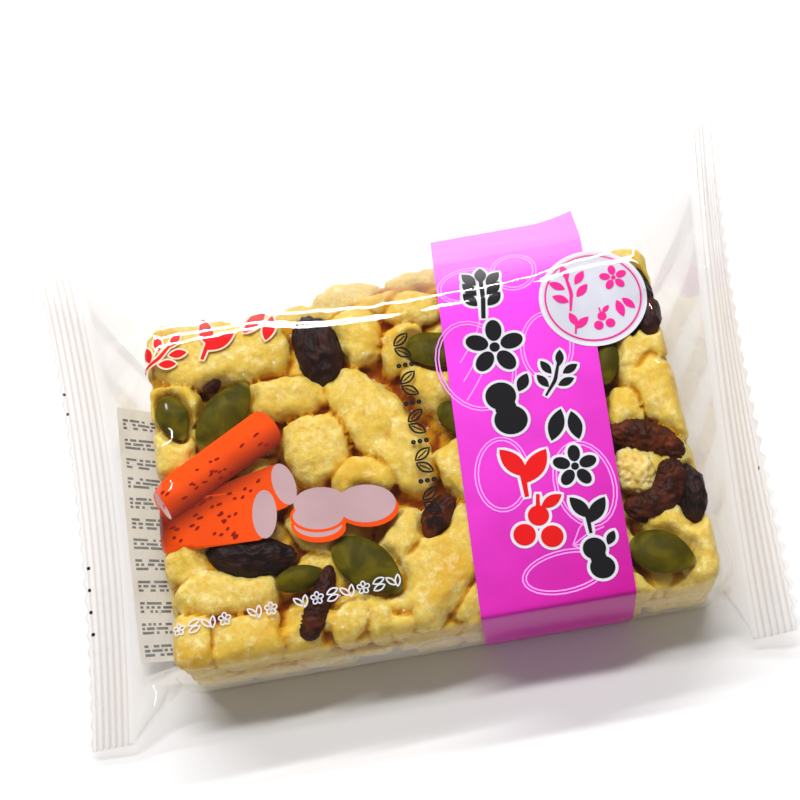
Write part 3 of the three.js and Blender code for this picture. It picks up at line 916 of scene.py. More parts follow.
def block_ring(x):
    """The film round the block at x, before the nuggets lift it."""
    inset = end_rounding(x)
    top = film_top - inset
    side = half_depth - inset * 0.5
    from_end = (half_length - abs(x)) / FAR_FOLD_FLARE_LENGTH
    far_out = FAR_FOLD_OUT + FAR_FOLD_FLARE * max(0, 1 - from_end) ** 1.5
    folds = [(-side - NEAR_FOLD_OUT, NEAR_FOLD_HEIGHT), (-side, top), (side, top),
             (side + far_out, FAR_FOLD_HEIGHT), (side, 0), (-side, 0)]
    folds = [np.array([x, y, z]) for y, z in folds]
    edge = BLOCK_EDGE_RADIUS
    slope_line = curve_at(FAR_SLOPE_LINE, 2, x)
    far_rounding = min(max((half_depth - slope_line) / SLOPE_LINE_SHARE, edge), FAR_ROUNDING_AT_MOST)
    return film_ring(folds, [edge, NEAR_TOP_ROUNDING, far_rounding, 1, edge, edge * 0.6])


def seal_ring(seal, out, ridge):
    """The film in an end seal, at a distance out from the seal's inner edge, before it is bent."""
    spread = np.linspace(SEAL_NEAR_Y, SEAL_FAR_Y, HALF_RING + 1)
    y = np.concatenate([spread[:-1], spread[:0:-1]])
    t = along_seal(y)
    above = np.concatenate([np.ones(HALF_RING), -np.ones(HALF_RING)])
    above[0] = above[HALF_RING] = 0
    edge = SEAL_WIDTH - TOOTH_DEPTH * np.abs((y - SEAL_NEAR_Y) / TOOTH_PITCH * 2 % 2 - 1)
    held = SEAL_WIDTH - 1.5 * TOOTH_DEPTH
    reach = np.where(out <= held, out, held + (out - held) / (SEAL_WIDTH - held) * (edge - held))
    x = through(seal["x"], t) + seal["side"] * reach
    z = through(SEAL_Z, t) + ridge + above * SEAL_GAP / 2
    return np.stack([x, y, z], 1)


def bent(points, seal):
    """A seal bent up from its inner edge, more at some places along it than at others."""
    t = along_seal(points[:, 1])
    inner = through(seal["x"], t)
    level = through(SEAL_Z, t)
    out = np.maximum((points[:, 0] - inner) * seal["side"], 0)
    angle = np.radians(through(seal["bend"], t))
    angle = np.where(np.abs(angle) < 1e-4, 1e-4, angle)
    turn = angle * np.minimum(out / SEAL_BEND_LENGTH, 1)
    radius = SEAL_BEND_LENGTH / angle
    past = np.maximum(0, out - SEAL_BEND_LENGTH)
    height = points[:, 2] - level
    along_x = radius * np.sin(turn) + past * np.cos(turn) - height * np.sin(turn)
    along_z = radius * (1 - np.cos(turn)) + past * np.sin(turn) + height * np.cos(turn)
    moved = np.stack([inner + seal["side"] * along_x, points[:, 1], level + along_z], 1)
    return np.where(out[:, None] > 0, moved, points)


def tent_rings(seal):
    """The sloping film between a block's end and its seal, with creases from one to the other."""
    block_end = block_ring(seal["side"] * half_length)
    start = seal_ring(seal, 0, 0)
    across = np.linspace(0, 1, TOP_TO - TOP_FROM + 1)
    rings = []
    for share in np.linspace(0, 1, TENT_STATIONS + 1)[1:]:
        ring = block_end * (1 - share) + start * share
        swell = math.sin(math.pi * share)
        crease = np.cos(2 * math.pi * TENT_CREASES * across) * swell
        ring[TOP_FROM:TOP_TO + 1, 2] += TENT_CREASE * crease
        under = slice(2 * HALF_RING - TOP_TO, 2 * HALF_RING - TOP_FROM + 1)
        ring[under, 2] -= TENT_CREASE_UNDER * crease
        rings.append(ring)
    return rings


def ridge_phase(out):
    """How many ridges lie between the crimp's start and a distance out, and whether that is in the crimp."""
    phase = (out - (SEAL_WIDTH - SEAL_RIDGES * SEAL_RIDGE_PITCH) / 2) / SEAL_RIDGE_PITCH
    return phase, (phase >= 0) & (phase <= SEAL_RIDGES)


def seal_rings(seal):
    """The film of a seal from its inner edge out, with its crimp ridges."""
    rings = []
    for out in SEAL_OUTS:
        phase, inside = ridge_phase(out)
        ridge = SEAL_RIDGE_DEPTH * (0.5 - 0.5 * math.cos(2 * math.pi * phase)) if inside else 0
        rings.append(bent(seal_ring(seal, out, ridge), seal))
    return rings


# The back lamp lights two lines in the film by its far top edge. The near one goes through these points.
# Neither goes further back than its limit, and the far one keeps at least the gap from the near one.
NEAR_LINE = [(-42, 33.2), (-26, 27.1), (-5, 24.4), (7, 24), (21, 24.9), (40, 28.6)]
LINE_LIMITS = (27, 30)
LINE_GAP = 1.6
# How steeply the film falls towards the far side where the lamp is mirrored in it
NEAR_LIT_FALL = 0.097
FAR_LIT_FALL = 0.089
# Its fall at places across the lines, where 0 is the near line and 1 the far one
FALL_PLACES = (-1.8, -0.3, -0.04, 0.04, 0.3, 0.5, 0.7, 0.95, 1.1)
FALLS = (0, 0.074, NEAR_LIT_FALL, NEAR_LIT_FALL, 0.072, 0.064, 0.068, FAR_LIT_FALL, FAR_LIT_FALL)
PROFILE_SPOTS = 80
# How far the film stays above the contents
CONTENTS_CLEARANCE = 0.3
# How far to each side of a point of the film the contents are felt for
PROBE = 0.36
PROBE_SPOTS = ((0, 0), (-PROBE, 0), (PROBE, 0), (0, -PROBE), (0, PROBE))
PROBE_FROM_Z = 40
# Beyond this y the taut film lies evenly over the nuggets, each place as high as those this many rows away.
# Towards the far slope that lift fades out over the given length.
EVEN_FROM_Y = 20
EVEN_ROWS = 12
EVEN_FADE = 4
# Rounds in which the film is drawn taut over the contents, and then made softer
TAUT_ROUNDS = 400
SOFT_ROUNDS = 3


def lit_lines(x):
    """The y of the near and of the far lit line at x."""
    near = min(curve_at(NEAR_LINE, 3, x), LINE_LIMITS[0])
    far = min(curve_at(FAR_SLOPE_LINE, 2, x), LINE_LIMITS[1])
    return near, max(far, near + LINE_GAP)


def far_profile(x, y, start, end):
    """Heights of the taut film at each y, from the block's top over the two lit lines to the far slope."""
    near, far = lit_lines(x)
    last = near + FALL_PLACES[-1] * (far - near)
    spots = np.linspace(near + FALL_PLACES[0] * (far - near), last, PROFILE_SPOTS)
    falls = np.interp((spots - near) / (far - near), FALL_PLACES, FALLS)
    fallen = np.concatenate([[0], np.cumsum((falls[1:] + falls[:-1]) / 2 * np.diff(spots))])
    left = end[1] - last
    bend = 2 * (start - end[2] - fallen[-1] - FAR_LIT_FALL * left) / left ** 2
    past = np.maximum(y - last, 0)
    return start - np.interp(y, spots, fallen) - FAR_LIT_FALL * past - bend * past ** 2 / 2


def between_neighbours(level):
    """The mean of the four neighbours of each inner point of a grid."""
    return (level[:-2, 1:-1] + level[2:, 1:-1] + level[1:-1, :-2] + level[1:-1, 2:]) / 4


def softened(level):
    """A grid of heights with its inner points drawn towards their neighbours."""
    softer = level.copy()
    softer[1:-1, 1:-1] = 0.3 * level[1:-1, 1:-1] + 0.7 * between_neighbours(level)
    return softer


def evened(heights):
    """Rows of heights made even from row to row, and nowhere lower than before."""
    count = len(heights)
    highest = np.array([heights[max(0, i - EVEN_ROWS):i + EVEN_ROWS + 1].max(axis=0) for i in range(count)])
    half = EVEN_ROWS // 2
    return np.array([highest[max(0, i - half):i + half + 1].mean(axis=0) for i in range(count)])


def heights_needed(top, contents):
    """How high each point of the film has to be, so that it clears the contents under it."""
    heights = np.full(top.shape[:2], -1e3)
    for i, row in enumerate(top):
        for j, point in enumerate(row):
            for aside, ahead in PROBE_SPOTS:
                hit = contents.ray_cast(Vector((point[0] + aside, point[1] + ahead, PROBE_FROM_Z)), DOWN)[0]
                if hit:
                    heights[i, j] = max(heights[i, j], hit.z + CONTENTS_CLEARANCE)
    return heights


def lifted(stations, contents):
    """The film over the block as a taut skin that rests on whatever stands highest in it."""
    grid = np.array([block_ring(x) for x in stations])
    top = grid[:, TOP_FROM:TOP_TO + 1]
    floor = heights_needed(top, contents)
    level = top[:, :, 2].copy()
    far = top[:, :, 1] > EVEN_FROM_Y
    for row, ring in enumerate(top):
        start = film_top - end_rounding(ring[0, 0])
        level[row, far[row]] = far_profile(ring[0, 0], ring[far[row], 1], start, ring[-1])
    fade = np.clip((top[:, -1:, 1] - top[:, :, 1]) / EVEN_FADE, 0, 1)
    lift = np.where(far & (fade > 0.5), floor - level, 0).max(axis=1)
    level += np.where(far, evened(lift)[:, None] * fade * fade * (3 - 2 * fade), 0)
    floor = np.where(far, level, floor)
    inner = (slice(1, -1), slice(1, -1))
    for _ in range(TAUT_ROUNDS):
        taut = np.maximum(between_neighbours(level), floor[inner])
        level[inner] = np.where(far[inner], level[inner], taut)
    for _ in range(SOFT_ROUNDS):
        level = np.where(far, level, np.maximum(softened(level), floor))
    grid[:, TOP_FROM:TOP_TO + 1, 2] = level
    return grid


def film_grid(contents):
    """Every ring of film from the left seal's edge to the right one's, as one grid of points."""
    count = round(2 * half_length / FILM_STEP)
    stations = np.linspace(-half_length, half_length, count + 1)
    left = tent_rings(LEFT_SEAL) + seal_rings(LEFT_SEAL)
    right = tent_rings(RIGHT_SEAL) + seal_rings(RIGHT_SEAL)
    middle = lifted(stations, contents)
    return np.array(left[::-1] + list(middle) + right), len(left), count


def grid_faces(rows, columns):
    """Quads over a grid of rings, and the two seams that close its ends."""
    faces = []
    for r in range(rows - 1):
        for i in range(columns):
            a, b = r * columns + i, r * columns + (i + 1) % columns
            faces.append((a, a + columns, b + columns, b))
    for r, flip in ((0, False), (rows - 1, True)):
        for i in range(columns // 2 - 1):
            ring = [r * columns + k % columns for k in (i, i + 1, columns - i - 1, columns - i)]
            faces.append(tuple(ring[::-1] if flip else ring))
        tip = [r * columns + k for k in (columns // 2 - 1, columns // 2, columns // 2 + 1)]
        faces.append(tuple(tip[::-1] if flip else tip))
    return faces


def crimp_painted_shade(shape):
    """How strongly painted shade darkens the film along the seals' crimp lines, at each point of its grid."""
    phase, inside = ridge_phase(SEAL_OUTS)
    line = np.where(inside, np.abs(np.cos(math.pi * phase)) ** 8, 0)
    crimp = np.zeros(shape)
    crimp[:SEAL_STATIONS] = line[::-1, None]
    crimp[shape[0] - SEAL_STATIONS:] = line[:, None]
    return crimp


def film_haze_and_painted_light(grid, over_block):
    """How milky the film is at each point of its grid, given which rows lie over the block: its own haze on the
    tents and seals, a milky sheet standing in for shade on the near rise, and haze with painted glare on the far
    slope.
    """
    haze_and_painted_light = np.full(grid.shape[:2], TENT_HAZE)
    haze_and_painted_light[over_block] = 0
    haze_and_painted_light[:SEAL_STATIONS] = haze_and_painted_light[len(grid) - SEAL_STATIONS:] = SEAL_HAZE
    rise = grid[over_block, :TOP_FROM - 2]
    x = rise[:, :, 0]
    under_band = [np.clip(past / BAND_SHADE_SHEET_FADE, 0, 1) for past in (x - BAND_AT_RISE[0], BAND_AT_RISE[1] - x)]
    beside_band = (1 - under_band[0] * under_band[1]) * np.where(x > BAND_MIDDLE, RIGHT_RISE_SHARE, 1)
    clear_from = np.interp(x, (-half_length, half_length), NEAR_RISE_CLEAR)
    low = np.clip((clear_from + NEAR_RISE_FADE / 2 - rise[:, :, 2]) / NEAR_RISE_FADE, 0, 1)
    # A milky sheet on the near rise, which stands in for shade, thins out towards the top and leaves the band
    # clear.
    haze_and_painted_light[over_block, :TOP_FROM - 2] = NEAR_RISE_SHADE_SHEET * beside_band * low
    # The far slope's haze, partly painted glare, fades out towards the ends.
    slope = grid[over_block, TOP_FROM:HALF_RING]
    far = np.clip((slope[:, :, 1] - FAR_SLOPE_MILK_AND_GLARE[0]) / (FAR_SLOPE_MILK_AND_GLARE[1] - FAR_SLOPE_MILK_AND_GLARE[0]), 0, 1)
    from_end = np.clip((half_length - np.abs(slope[:, :, 0])) / END_HAZE_AND_GLARE_FADE, 0, 1)
    haze_and_painted_light[over_block, TOP_FROM:HALF_RING] = FAR_SLOPE_HAZE_AND_GLARE * far * from_end
    return haze_and_painted_light


def make_film(material, contents):
    """The whole bag as one closed skin, with its grid and the first of its rows over the block."""
    grid, left_count, block_count = film_grid(contents)
    rows, columns = grid.shape[:2]
    piece = new_piece("film", grid.reshape(-1, 3), grid_faces(rows, columns), material)
    haze_and_painted_light = film_haze_and_painted_light(grid, slice(left_count, left_count + block_count + 1))
    set_attribute(piece, "haze_and_painted_light", haze_and_painted_light.ravel())
    set_attribute(piece, "crimp", crimp_painted_shade((rows, columns)).ravel())
    return piece, grid, left_count


# Laying print on the film

# How far below the film each layer of print lies
MARK_DEPTH = 0.04
OUTLINE_DEPTH = 0.11
LINE_DEPTH = 0.16
BADGE_DEPTH = 0.14
BAND_DEPTH = 0.2
LABEL_DEPTH = 0.1
RULE_DEPTH = 0.14
# Filled shapes are cut into cells of this size, shifted so that no corner falls on an outline
PATCH_STEP = 0.8
PATCH_SHIFT = (0.013, 0.017)
# Rays that look for the film start at these heights
FROM_ABOVE = 60
FROM_BELOW = -40
# How far apart the film's rows over the block are
BLOCK_ROW_STEP = 2 * half_length / round(2 * half_length / FILM_STEP)


class Sheet:
    """The film as a surface that print is laid on, inside it."""

    def __init__(self, grid, left_count):
        rows, columns = grid.shape[:2]
        self.grid = grid
        self.left_count = left_count
        along = np.gradient(grid, axis=0)
        around = np.roll(grid, -1, axis=1) - np.roll(grid, 1, axis=1)
        normals = unit(np.cross(along, around))
        middle = normals[rows // 2, (TOP_FROM + TOP_TO) // 2]
        self.normals = normals * (1 if middle[2] > 0 else -1)
        self.tree = BVHTree.FromPolygons(grid.reshape(-1, 3).tolist(), grid_faces(rows, columns))

    def row_at(self, x):
        """The grid row, as a fraction, where the film over the block has this x."""
        return self.left_count + (x + half_length) / BLOCK_ROW_STEP

    def at(self, row, column, depth):
        """A point at a fraction of a row, a depth inside the film."""
        row = min(max(row, 0), len(self.grid) - 1.001)
        low, share = int(row), row - int(row)
        column = column % self.grid.shape[1]
        point = self.grid[low, column] * (1 - share) + self.grid[low + 1, column] * share
        normal = self.normals[low, column] * (1 - share) + self.normals[low + 1, column] * share
        return point - normal * depth

    def below(self, x, y, depth):
        """The point a depth inside the film, straight below (x, y)."""
        hit, normal = self.tree.ray_cast(Vector((x, y, FROM_ABOVE)), DOWN)[:2]
        if hit is None:
            return Vector((x, y, film_top - depth))
        return hit - normal * (depth if normal.z > 0 else -depth)

    def above(self, x, y, depth):
        """The point a depth inside the film's lower sheet, straight above (x, y)."""
        hit, normal = self.tree.ray_cast(Vector((x, y, FROM_BELOW)), UP)[:2]
        return hit + normal * (depth if normal.z > 0 else -depth)


def lattice_faces(rows, columns):
    """Quads between the points of an open grid."""
    return [(r * columns + c, (r + 1) * columns + c, (r + 1) * columns + c + 1, r * columns + c + 1)
            for r in range(rows - 1) for c in range(columns - 1)]


def within(spots, ring):
    """Which spots lie inside a closed outline."""
    inside = np.zeros(len(spots), bool)
    x, y = spots[:, 0], spots[:, 1]
    for (ax, ay), (bx, by) in zip(ring, np.roll(ring, -1, axis=0)):
        if ay != by:
            inside ^= ((ay > y) != (by > y)) & (x < ax + (y - ay) * (bx - ax) / (by - ay))
    return inside


def runs_left(ring):
    """Whether a closed outline turns to the left."""
    x, y = np.transpose(ring)
    return np.sum(x * np.roll(y, -1) - np.roll(x, -1) * y) > 0


def left_of(directions):
    """The unit vector to the left of each direction."""
    ahead = unit(directions)
    return np.stack([-ahead[:, 1], ahead[:, 0]], 1)


def filled(outlines):
    """Flat points and triangles that fill closed outlines, fine enough to follow the film."""
    points, loops = [], []
    for outline in outlines:
        ring = np.array(outline)
        ring = ring if runs_left(ring) else ring[::-1]
        loops.append(list(range(len(points), len(points) + len(ring))))
        points += [Vector(p) for p in ring]
    low, high = np.min(points, axis=0), np.max(points, axis=0)
    for x in np.arange(low[0], high[0], PATCH_STEP):
        for y in np.arange(low[1], high[1], PATCH_STEP):
            points.append(Vector((x + PATCH_SHIFT[0], y + PATCH_SHIFT[1])))
    made, _, triangles = delaunay_2d_cdt(points, [], loops, 0, 1e-4, False)[:3]
    middles = np.array([[sum(made[i][k] for i in face) / 3 for k in (0, 1)] for face in triangles])
    inside = np.zeros(len(triangles), bool)
    for outline in outlines:
        inside |= within(middles, np.array(outline))
    triangles = [face for face, kept in zip(triangles, inside) if kept]
    used = sorted({index for face in triangles for index in face})
    place = {index: i for i, index in enumerate(used)}
    return [tuple(made[i]) for i in used], [tuple(place[i] for i in face) for face in triangles]


def ribbon(path, width, closed=False):
    """Flat points and quads of a line of even width along a path."""
    path = np.array(path, float)
    if closed:
        path = np.vstack([path, path[:1]])
    ahead = np.gradient(path, axis=0)
    if closed:
        ahead[0] = ahead[-1] = path[1] - path[-2]
    side = left_of(ahead) * width / 2
    points = np.concatenate([path - side, path + side])
    n = len(path)
    return [tuple(p) for p in points], [(i, i + 1, n + i + 1, n + i) for i in range(n - 1)]


def rim(outline, width):
    return ribbon(outline, width, closed=True)


def ink_piece(name, points, faces, ink, shading_shares=None):
    """A piece of print in one of the inks, from points in millimetres."""
    slot, *tones = INKS[ink]
    piece = new_piece(name, points, faces, bpy.data.materials.get(ink) or ink_material(ink, *tones))
    if shading_shares:
        # On the band these values are painted reflection and shade; on the roots they are printed shading.
        set_attribute(piece, "fade", shading_shares)
    finish_piece(piece)


def print_piece(name, sheet, shapes, depth, ink, fade=None):
    """A piece of print from flat shapes, laid on the film."""
    points, faces = [], []
    for flat, shape_faces in shapes:
        count = len(points)
        points += flat
        faces += [tuple(i + count for i in face) for face in shape_faces]
    laid = [sheet.below(x, y, depth) for x, y in points]
    ink_piece(name, laid, faces, ink, [fade(x, y) for x, y in points] if fade else None)


# Flat outlines of the print. A motif is a list of them round its own middle, about one unit long.

def oval(x, y, length, width, degrees=0, count=26):
    turn = np.linspace(0, 2 * math.pi, count, endpoint=False)
    flat = np.stack([np.cos(turn) * length / 2, np.sin(turn) * width / 2], 1)
    return rotated(flat, degrees) + (x, y)


def leaf(x, y, length, width, degrees=0):
    """A leaf, pointed at both ends."""
    t = np.linspace(0, 1, 11)
    half = width / 2 * np.sin(math.pi * t) ** 0.85
    along = (t - 0.5) * length
    flat = np.concatenate([np.stack([along, half], 1), np.stack([along[-2:0:-1], -half[-2:0:-1]], 1)])
    return rotated(flat, degrees) + (x, y)


def stroke(path, widths):
    """A brush stroke along a path, as wide at each point as the list says."""
    path = np.array(path, float)
    steps = np.linspace(0, len(path) - 1, 4 * len(path))
    fine = np.stack([np.interp(steps, range(len(path)), path[:, k]) for k in (0, 1)], 1)
    width = np.interp(steps, range(len(path)), widths)
    side = left_of(np.gradient(fine, axis=0)) * width[:, None] / 2
    return np.concatenate([fine + side, (fine - side)[::-1]])


def grown(outline, margin):
    """An outline moved outwards by a margin."""
    ring = np.array(outline)
    left = left_of(np.roll(ring, -1, axis=0) - np.roll(ring, 1, axis=0))
    return ring + left * (-1 if runs_left(ring) else 1) * margin


def wheat_ear():
    shapes = [stroke([(0, -0.5), (0.02, -0.1), (0, 0.2)], [0.07, 0.08, 0.07]), leaf(0, 0.34, 0.32, 0.2, 90)]
    for level in (-0.18, 0.02, 0.22):
        for side in (-1, 1):
            shapes.append(leaf(side * 0.2, level + 0.04, 0.34, 0.19, 90 - side * 42))
    return shapes


def blossom():
    shapes = [oval(0.3 * math.cos(a), 0.3 * math.sin(a), 0.38, 0.27, math.degrees(a))
              for a in (math.radians(90 + 72 * k) for k in range(5))]
    return shapes + [oval(0, 0, 0.17, 0.17)]


def nut():
    """A peanut in its shell, with a leaf beside it."""
    return [oval(-0.12, 0.2, 0.52, 0.5), oval(0.02, -0.24, 0.56, 0.52), oval(-0.05, -0.02, 0.36, 0.4),
            leaf(0.27, 0.42, 0.36, 0.2, 62)]


def sprig():
    shapes = [stroke([(-0.3, -0.48), (-0.05, -0.1), (0.08, 0.42)], [0.05, 0.09, 0.06])]
    for x, y, angle in ((-0.34, -0.1, 128), (0.2, -0.16, 22), (-0.24, 0.24, 124), (0.32, 0.16, 30),
                        (0.1, 0.46, 84)):
        shapes.append(leaf(x, y, 0.42, 0.2, angle))
    return shapes


def berries():
    return [oval(-0.24, -0.2, 0.38, 0.38), oval(0.22, -0.26, 0.38, 0.38), oval(0.02, 0.12, 0.36, 0.36),
            leaf(0.26, 0.36, 0.42, 0.2, 30), stroke([(0.02, 0.2), (0.04, 0.5)], [0.08, 0.06])]


def seed_pair():
    return [leaf(-0.18, 0, 0.8, 0.36, 70), leaf(0.24, -0.04, 0.7, 0.32, 100)]


def two_leaves():
    return [leaf(-0.16, 0.1, 0.66, 0.3, 130), leaf(0.2, 0.02, 0.7, 0.32, 55),
            stroke([(-0.02, -0.1), (0.02, -0.5)], [0.1, 0.07])]


def marks_at(marks, at=(0, 0)):
    """The outlines of a list of marks: each a motif, its place from a point, its size and its direction."""
    return [rotated(np.array(outline) * size, degrees) + (at[0] + x, at[1] + y)
            for motif, x, y, size, degrees in marks for outline in motif()]


# The print: a magenta band round the pack with a column of marks on it, a round badge, roots and slices,
# brush leaves, a stamped row, a pale row and the plain label underneath

BAND_MIDDLE = 19
# The x of the band's left and right edge where y is 0, and how much it grows with y
BAND_EDGES = ((6.65, 0.04), (32.35, 0.063))
BAND_TILT = -6
BAND_STEPS = 34
# Each mark is a motif, its place, its size and its direction
BAND_MARKS = [(*mark, BAND_TILT) for mark in (
    (wheat_ear, 15.4, 25.6, 10.4), (blossom, 15.8, 14.8, 10.4), (nut, 16.2, 3.6, 10),
    (sprig, 25.2, 7.6, 7.2), (seed_pair, 24.7, -1.2, 7.4), (blossom, 25, -8.8, 7.6),
    (two_leaves, 25.5, -16.8, 7.4), (nut, 26, -24.6, 7.2),
)]
RED_MARKS = [(two_leaves, 16.6, -7.6, 10, BAND_TILT), (berries, 17.2, -17.2, 9.6, BAND_TILT)]
MARK_RIM = 0.5
BRUSH_LEAVES = [(sprig, -41.4, 24.2, 7.6, -30), (two_leaves, -32.6, 25.8, 8.4, -30),
                (seed_pair, -23.6, 27, 7, -30)]
LEAF_HALO = 0.32
# Thin ovals on the band: middle, length, width and direction; each has a second one inside it
LINE_OVALS = [(13.4, 27.6, 11, 7.4, 8), (21.6, 29, 8, 8, 0), (24.6, 13.4, 9, 13, -10), (12, 12, 13, 17, 14),
              (26, -12, 10, 15, 4), (13, -8, 9, 13, -8), (20, -26, 14, 7, 4)]
LINE_WIDTH = 0.26
THIN_LINE_WIDTH = 0.24
BADGE_AT = (34.1, 21)
BADGE_SIZE = 18.6
# The badge's marks, with their places from its middle
BADGE_MARKS = [(sprig, -3.4, 2.2, 7.4, 20), (blossom, 4.2, 3, 5, 0), (two_leaves, -3.6, -4.2, 4.4, -20),
               (berries, 0.8, -4.4, 4.4, 10), (seed_pair, 4.8, -2.6, 4.2, 30)]
LABEL_RIGHT = 44
LABEL_LEFT = -53.5
LABEL_Y = (-25, 22)
LABEL_SEED = 77
# The label's broken rules: rows of three, with a least length and gap and how much more each may be
RULE_ROW_PITCH = 3.8
RULE_PITCH = 0.75
RULES_IN_ROW = 3
RULE_HALF_WIDTH = 0.22
RULE_LENGTH = (0.4, 2)
RULE_GAP = (0.3, 0.9)
# The stamped row and the pale row: where each starts, the step to the next mark, and the steps left empty
ROW_MARKS = 15
STAMPED_FROM, STAMPED_STEP = (0.1, 19), (0.05, -2.35)
PALE_FROM, PALE_STEP, PALE_GAPS = (-43, -24.6), (2.55, 0.13), (4, 7)


def band_edges(y):
    """The band's left and right edges at y."""
    return [x + lean * y for x, lean in BAND_EDGES]


def band_painted_light(x, y):
    """How far the band's ink goes from the pale violet of a painted reflection at the far side to the deep pink
    of painted shade at the near side and to the right.
    """
    return min(max(0.5 - 0.014 * y + 0.008 * (x - BAND_MIDDLE), 0), 1)


def make_band(sheet):
    """The band: up the near side, over the top, down the far fold and back under to the label."""
    middle = round(sheet.row_at(BAND_MIDDLE))
    columns = sheet.grid.shape[1]
    under = [c for c in range(HALF_RING, columns) if not LABEL_Y[0] < sheet.grid[middle, c, 1] < LABEL_Y[1]]
    near_under = [c for c in under if sheet.grid[middle, c, 1] < 0]
    far_under = [c for c in under if sheet.grid[middle, c, 1] > 0]
    order = near_under + list(range(HALF_RING)) + far_under
    points, shading_shares = [], []
    for column in order:
        y = sheet.grid[middle, column, 1]
        left, right = band_edges(y)
        for share in np.linspace(0, 1, BAND_STEPS + 1):
            x = left + (right - left) * share
            points.append(sheet.at(sheet.row_at(x), column, BAND_DEPTH))
            # Painted reflection pales the band at its far side, and painted shade deepens it at its near side
            # and to the right.
            shading_shares.append(band_painted_light(x, y))
    ink_piece("band", points, lattice_faces(len(order), BAND_STEPS + 1), "magenta_ink", shading_shares)


def make_label(sheet):
    """The plain label on the lower sheet, with broken rules in place of small print."""
    xs = np.arange(LABEL_LEFT, LABEL_RIGHT, 1.0)
    ys = np.arange(LABEL_Y[0], LABEL_Y[1] + 0.5, 1.0)
    points = [sheet.above(x, y, LABEL_DEPTH) for x in xs for y in ys]
    ink_piece("label", points, lattice_faces(len(xs), len(ys)), "label_paper")
    random = seeded_random(LABEL_SEED)
    rules, faces = [], []
    for row in np.arange(LABEL_Y[1] - 2.5, LABEL_Y[0] + 1, -RULE_ROW_PITCH):
        for line in range(RULES_IN_ROW):
            y = row - RULE_PITCH * line
            x = LABEL_LEFT + 0.8
            while x < LABEL_RIGHT - 4:
                length = RULE_LENGTH[0] + RULE_LENGTH[1] * random() ** 2
                start = len(rules)
                rules += [sheet.above(x + length * share, y + side, RULE_DEPTH)
                          for share in (0, 0.5, 1) for side in (-RULE_HALF_WIDTH, RULE_HALF_WIDTH)]
                faces += [(start + k, start + k + 2, start + k + 3, start + k + 1) for k in (0, 2)]
                x += length + RULE_GAP[0] + RULE_GAP[1] * random() ** 3
    ink_piece("label_rules", rules, faces, "grey_ink")


def haloed(outlines, margin):
    """The outlines filled out to a margin round them."""
    return filled([grown(outline, margin) for outline in outlines])


def line_art():
    """Thin ovals, arcs and leaf lines on the band."""
    lines = [rim(oval(x, y, length - inset, width - inset, angle), LINE_WIDTH)
             for x, y, length, width, angle in LINE_OVALS for inset in (0, 1.1)]
    for start in (11, 14.5, 18):
        arc = [(9.5 + 5 * math.sin(t), start - 5 + 6 * t) for t in np.linspace(0, 1.5, 12)]
        lines.append(ribbon(arc, THIN_LINE_WIDTH))
    for angle in (-40, -10, 20, 50):
        vein = rotated(np.array([(0, 0), (3, 0.5), (6, 0.2)]), angle) + (22, -22)
        lines.append(ribbon(vein, THIN_LINE_WIDTH))
    return lines


def stamped_row():
    """A column of small leaves and dots, stamped where a date would be."""
    shapes = []
    for step in range(ROW_MARKS):
        x, y = STAMPED_FROM[0] + STAMPED_STEP[0] * step, STAMPED_FROM[1] + STAMPED_STEP[1] * step
        if step % 3 == 2:
            shapes += [rim(oval(x + o, y, 0.5, 0.5, 0, 8), 0.4) for o in (-1.1, 0, 1.1)]
        else:
            lean = 35 if step % 3 == 0 else -35
            shapes.append(rim(rotated(leaf(0, 0, 3.1, 1.5), lean) + (x, y), 0.34))
            shapes.append(ribbon(rotated(np.array([(-1, 0), (0, 0), (1, 0)]), lean) + (x, y), LINE_WIDTH))
    return shapes


def pale_row():
    """A row of small white leaves and blossoms along the near side."""
    shapes = []
    for step in range(ROW_MARKS):
        if step in PALE_GAPS:
            continue
        x, y = PALE_FROM[0] + PALE_STEP[0] * step, PALE_FROM[1] + PALE_STEP[1] * step
        if step % 3 == 0:
            petals = [oval(x + 0.6 * math.cos(a), y + 0.6 * math.sin(a), 0.9, 0.7, math.degrees(a), 10)
                      for a in (0.3, 1.6, 2.8, 4.1, 5.3)]
            shapes += [rim(petal, THIN_LINE_WIDTH) for petal in petals]
        elif step % 3 == 1:
            shapes += [rim(leaf(x, y + o, 2, 0.9, 20), LINE_WIDTH) for o in (-0.55, 0.55)]
        else:
            shapes += [rim(leaf(x + o, y, 2, 0.8, 110 - 50 * o), LINE_WIDTH) for o in (-0.55, 0.55)]
    return shapes


# The roots, from the lowest to the one on top, and the slices: middle, length, width and a root's direction
ROOTS = [(-31.4, -4.9, 19, 8, 12), (-35.1, -7.2, 18.4, 8.8, -4), (-33.8, 2.7, 23.6, 7.4, 27.4)]
SLICES = [(-18.4, -11, 8.6, 5), (-18.2, -9.6, 9, 5.2), (-17.4, -7.6, 9.2, 5.6), (-10, -9, 10, 6.6)]
SLICE_TILT = -10
# How deep the roots, their cut ends and the slices lie below the film
ROOT_DEPTHS = (0.2, 0.16, 0.12)
CUT_DEPTHS = (0.18, 0.14, 0.1)
SLICE_DEPTH = 0.09
ROOT_SHADE = 3.4
# How far in from its tip a root's cut end lies, and how round it looks. The root on top shows its other end,
# which looks thin.
CUT_INSET = 1
CUT_ROUNDNESS = 0.47
TOP_CUT_INSET = 0.1
TOP_CUT_WIDTH = 0.9
# How far each slice lies nearer the film than the one before
SLICE_LIFT = 0.008
SLICES_WITH_EDGE = 2
SPECK_SEED = 5
SPECKS_ON_ROOT = 22
# How far specks stay from the middle of a cut end, in widths of the root
SPECK_CLEARANCE = 0.55


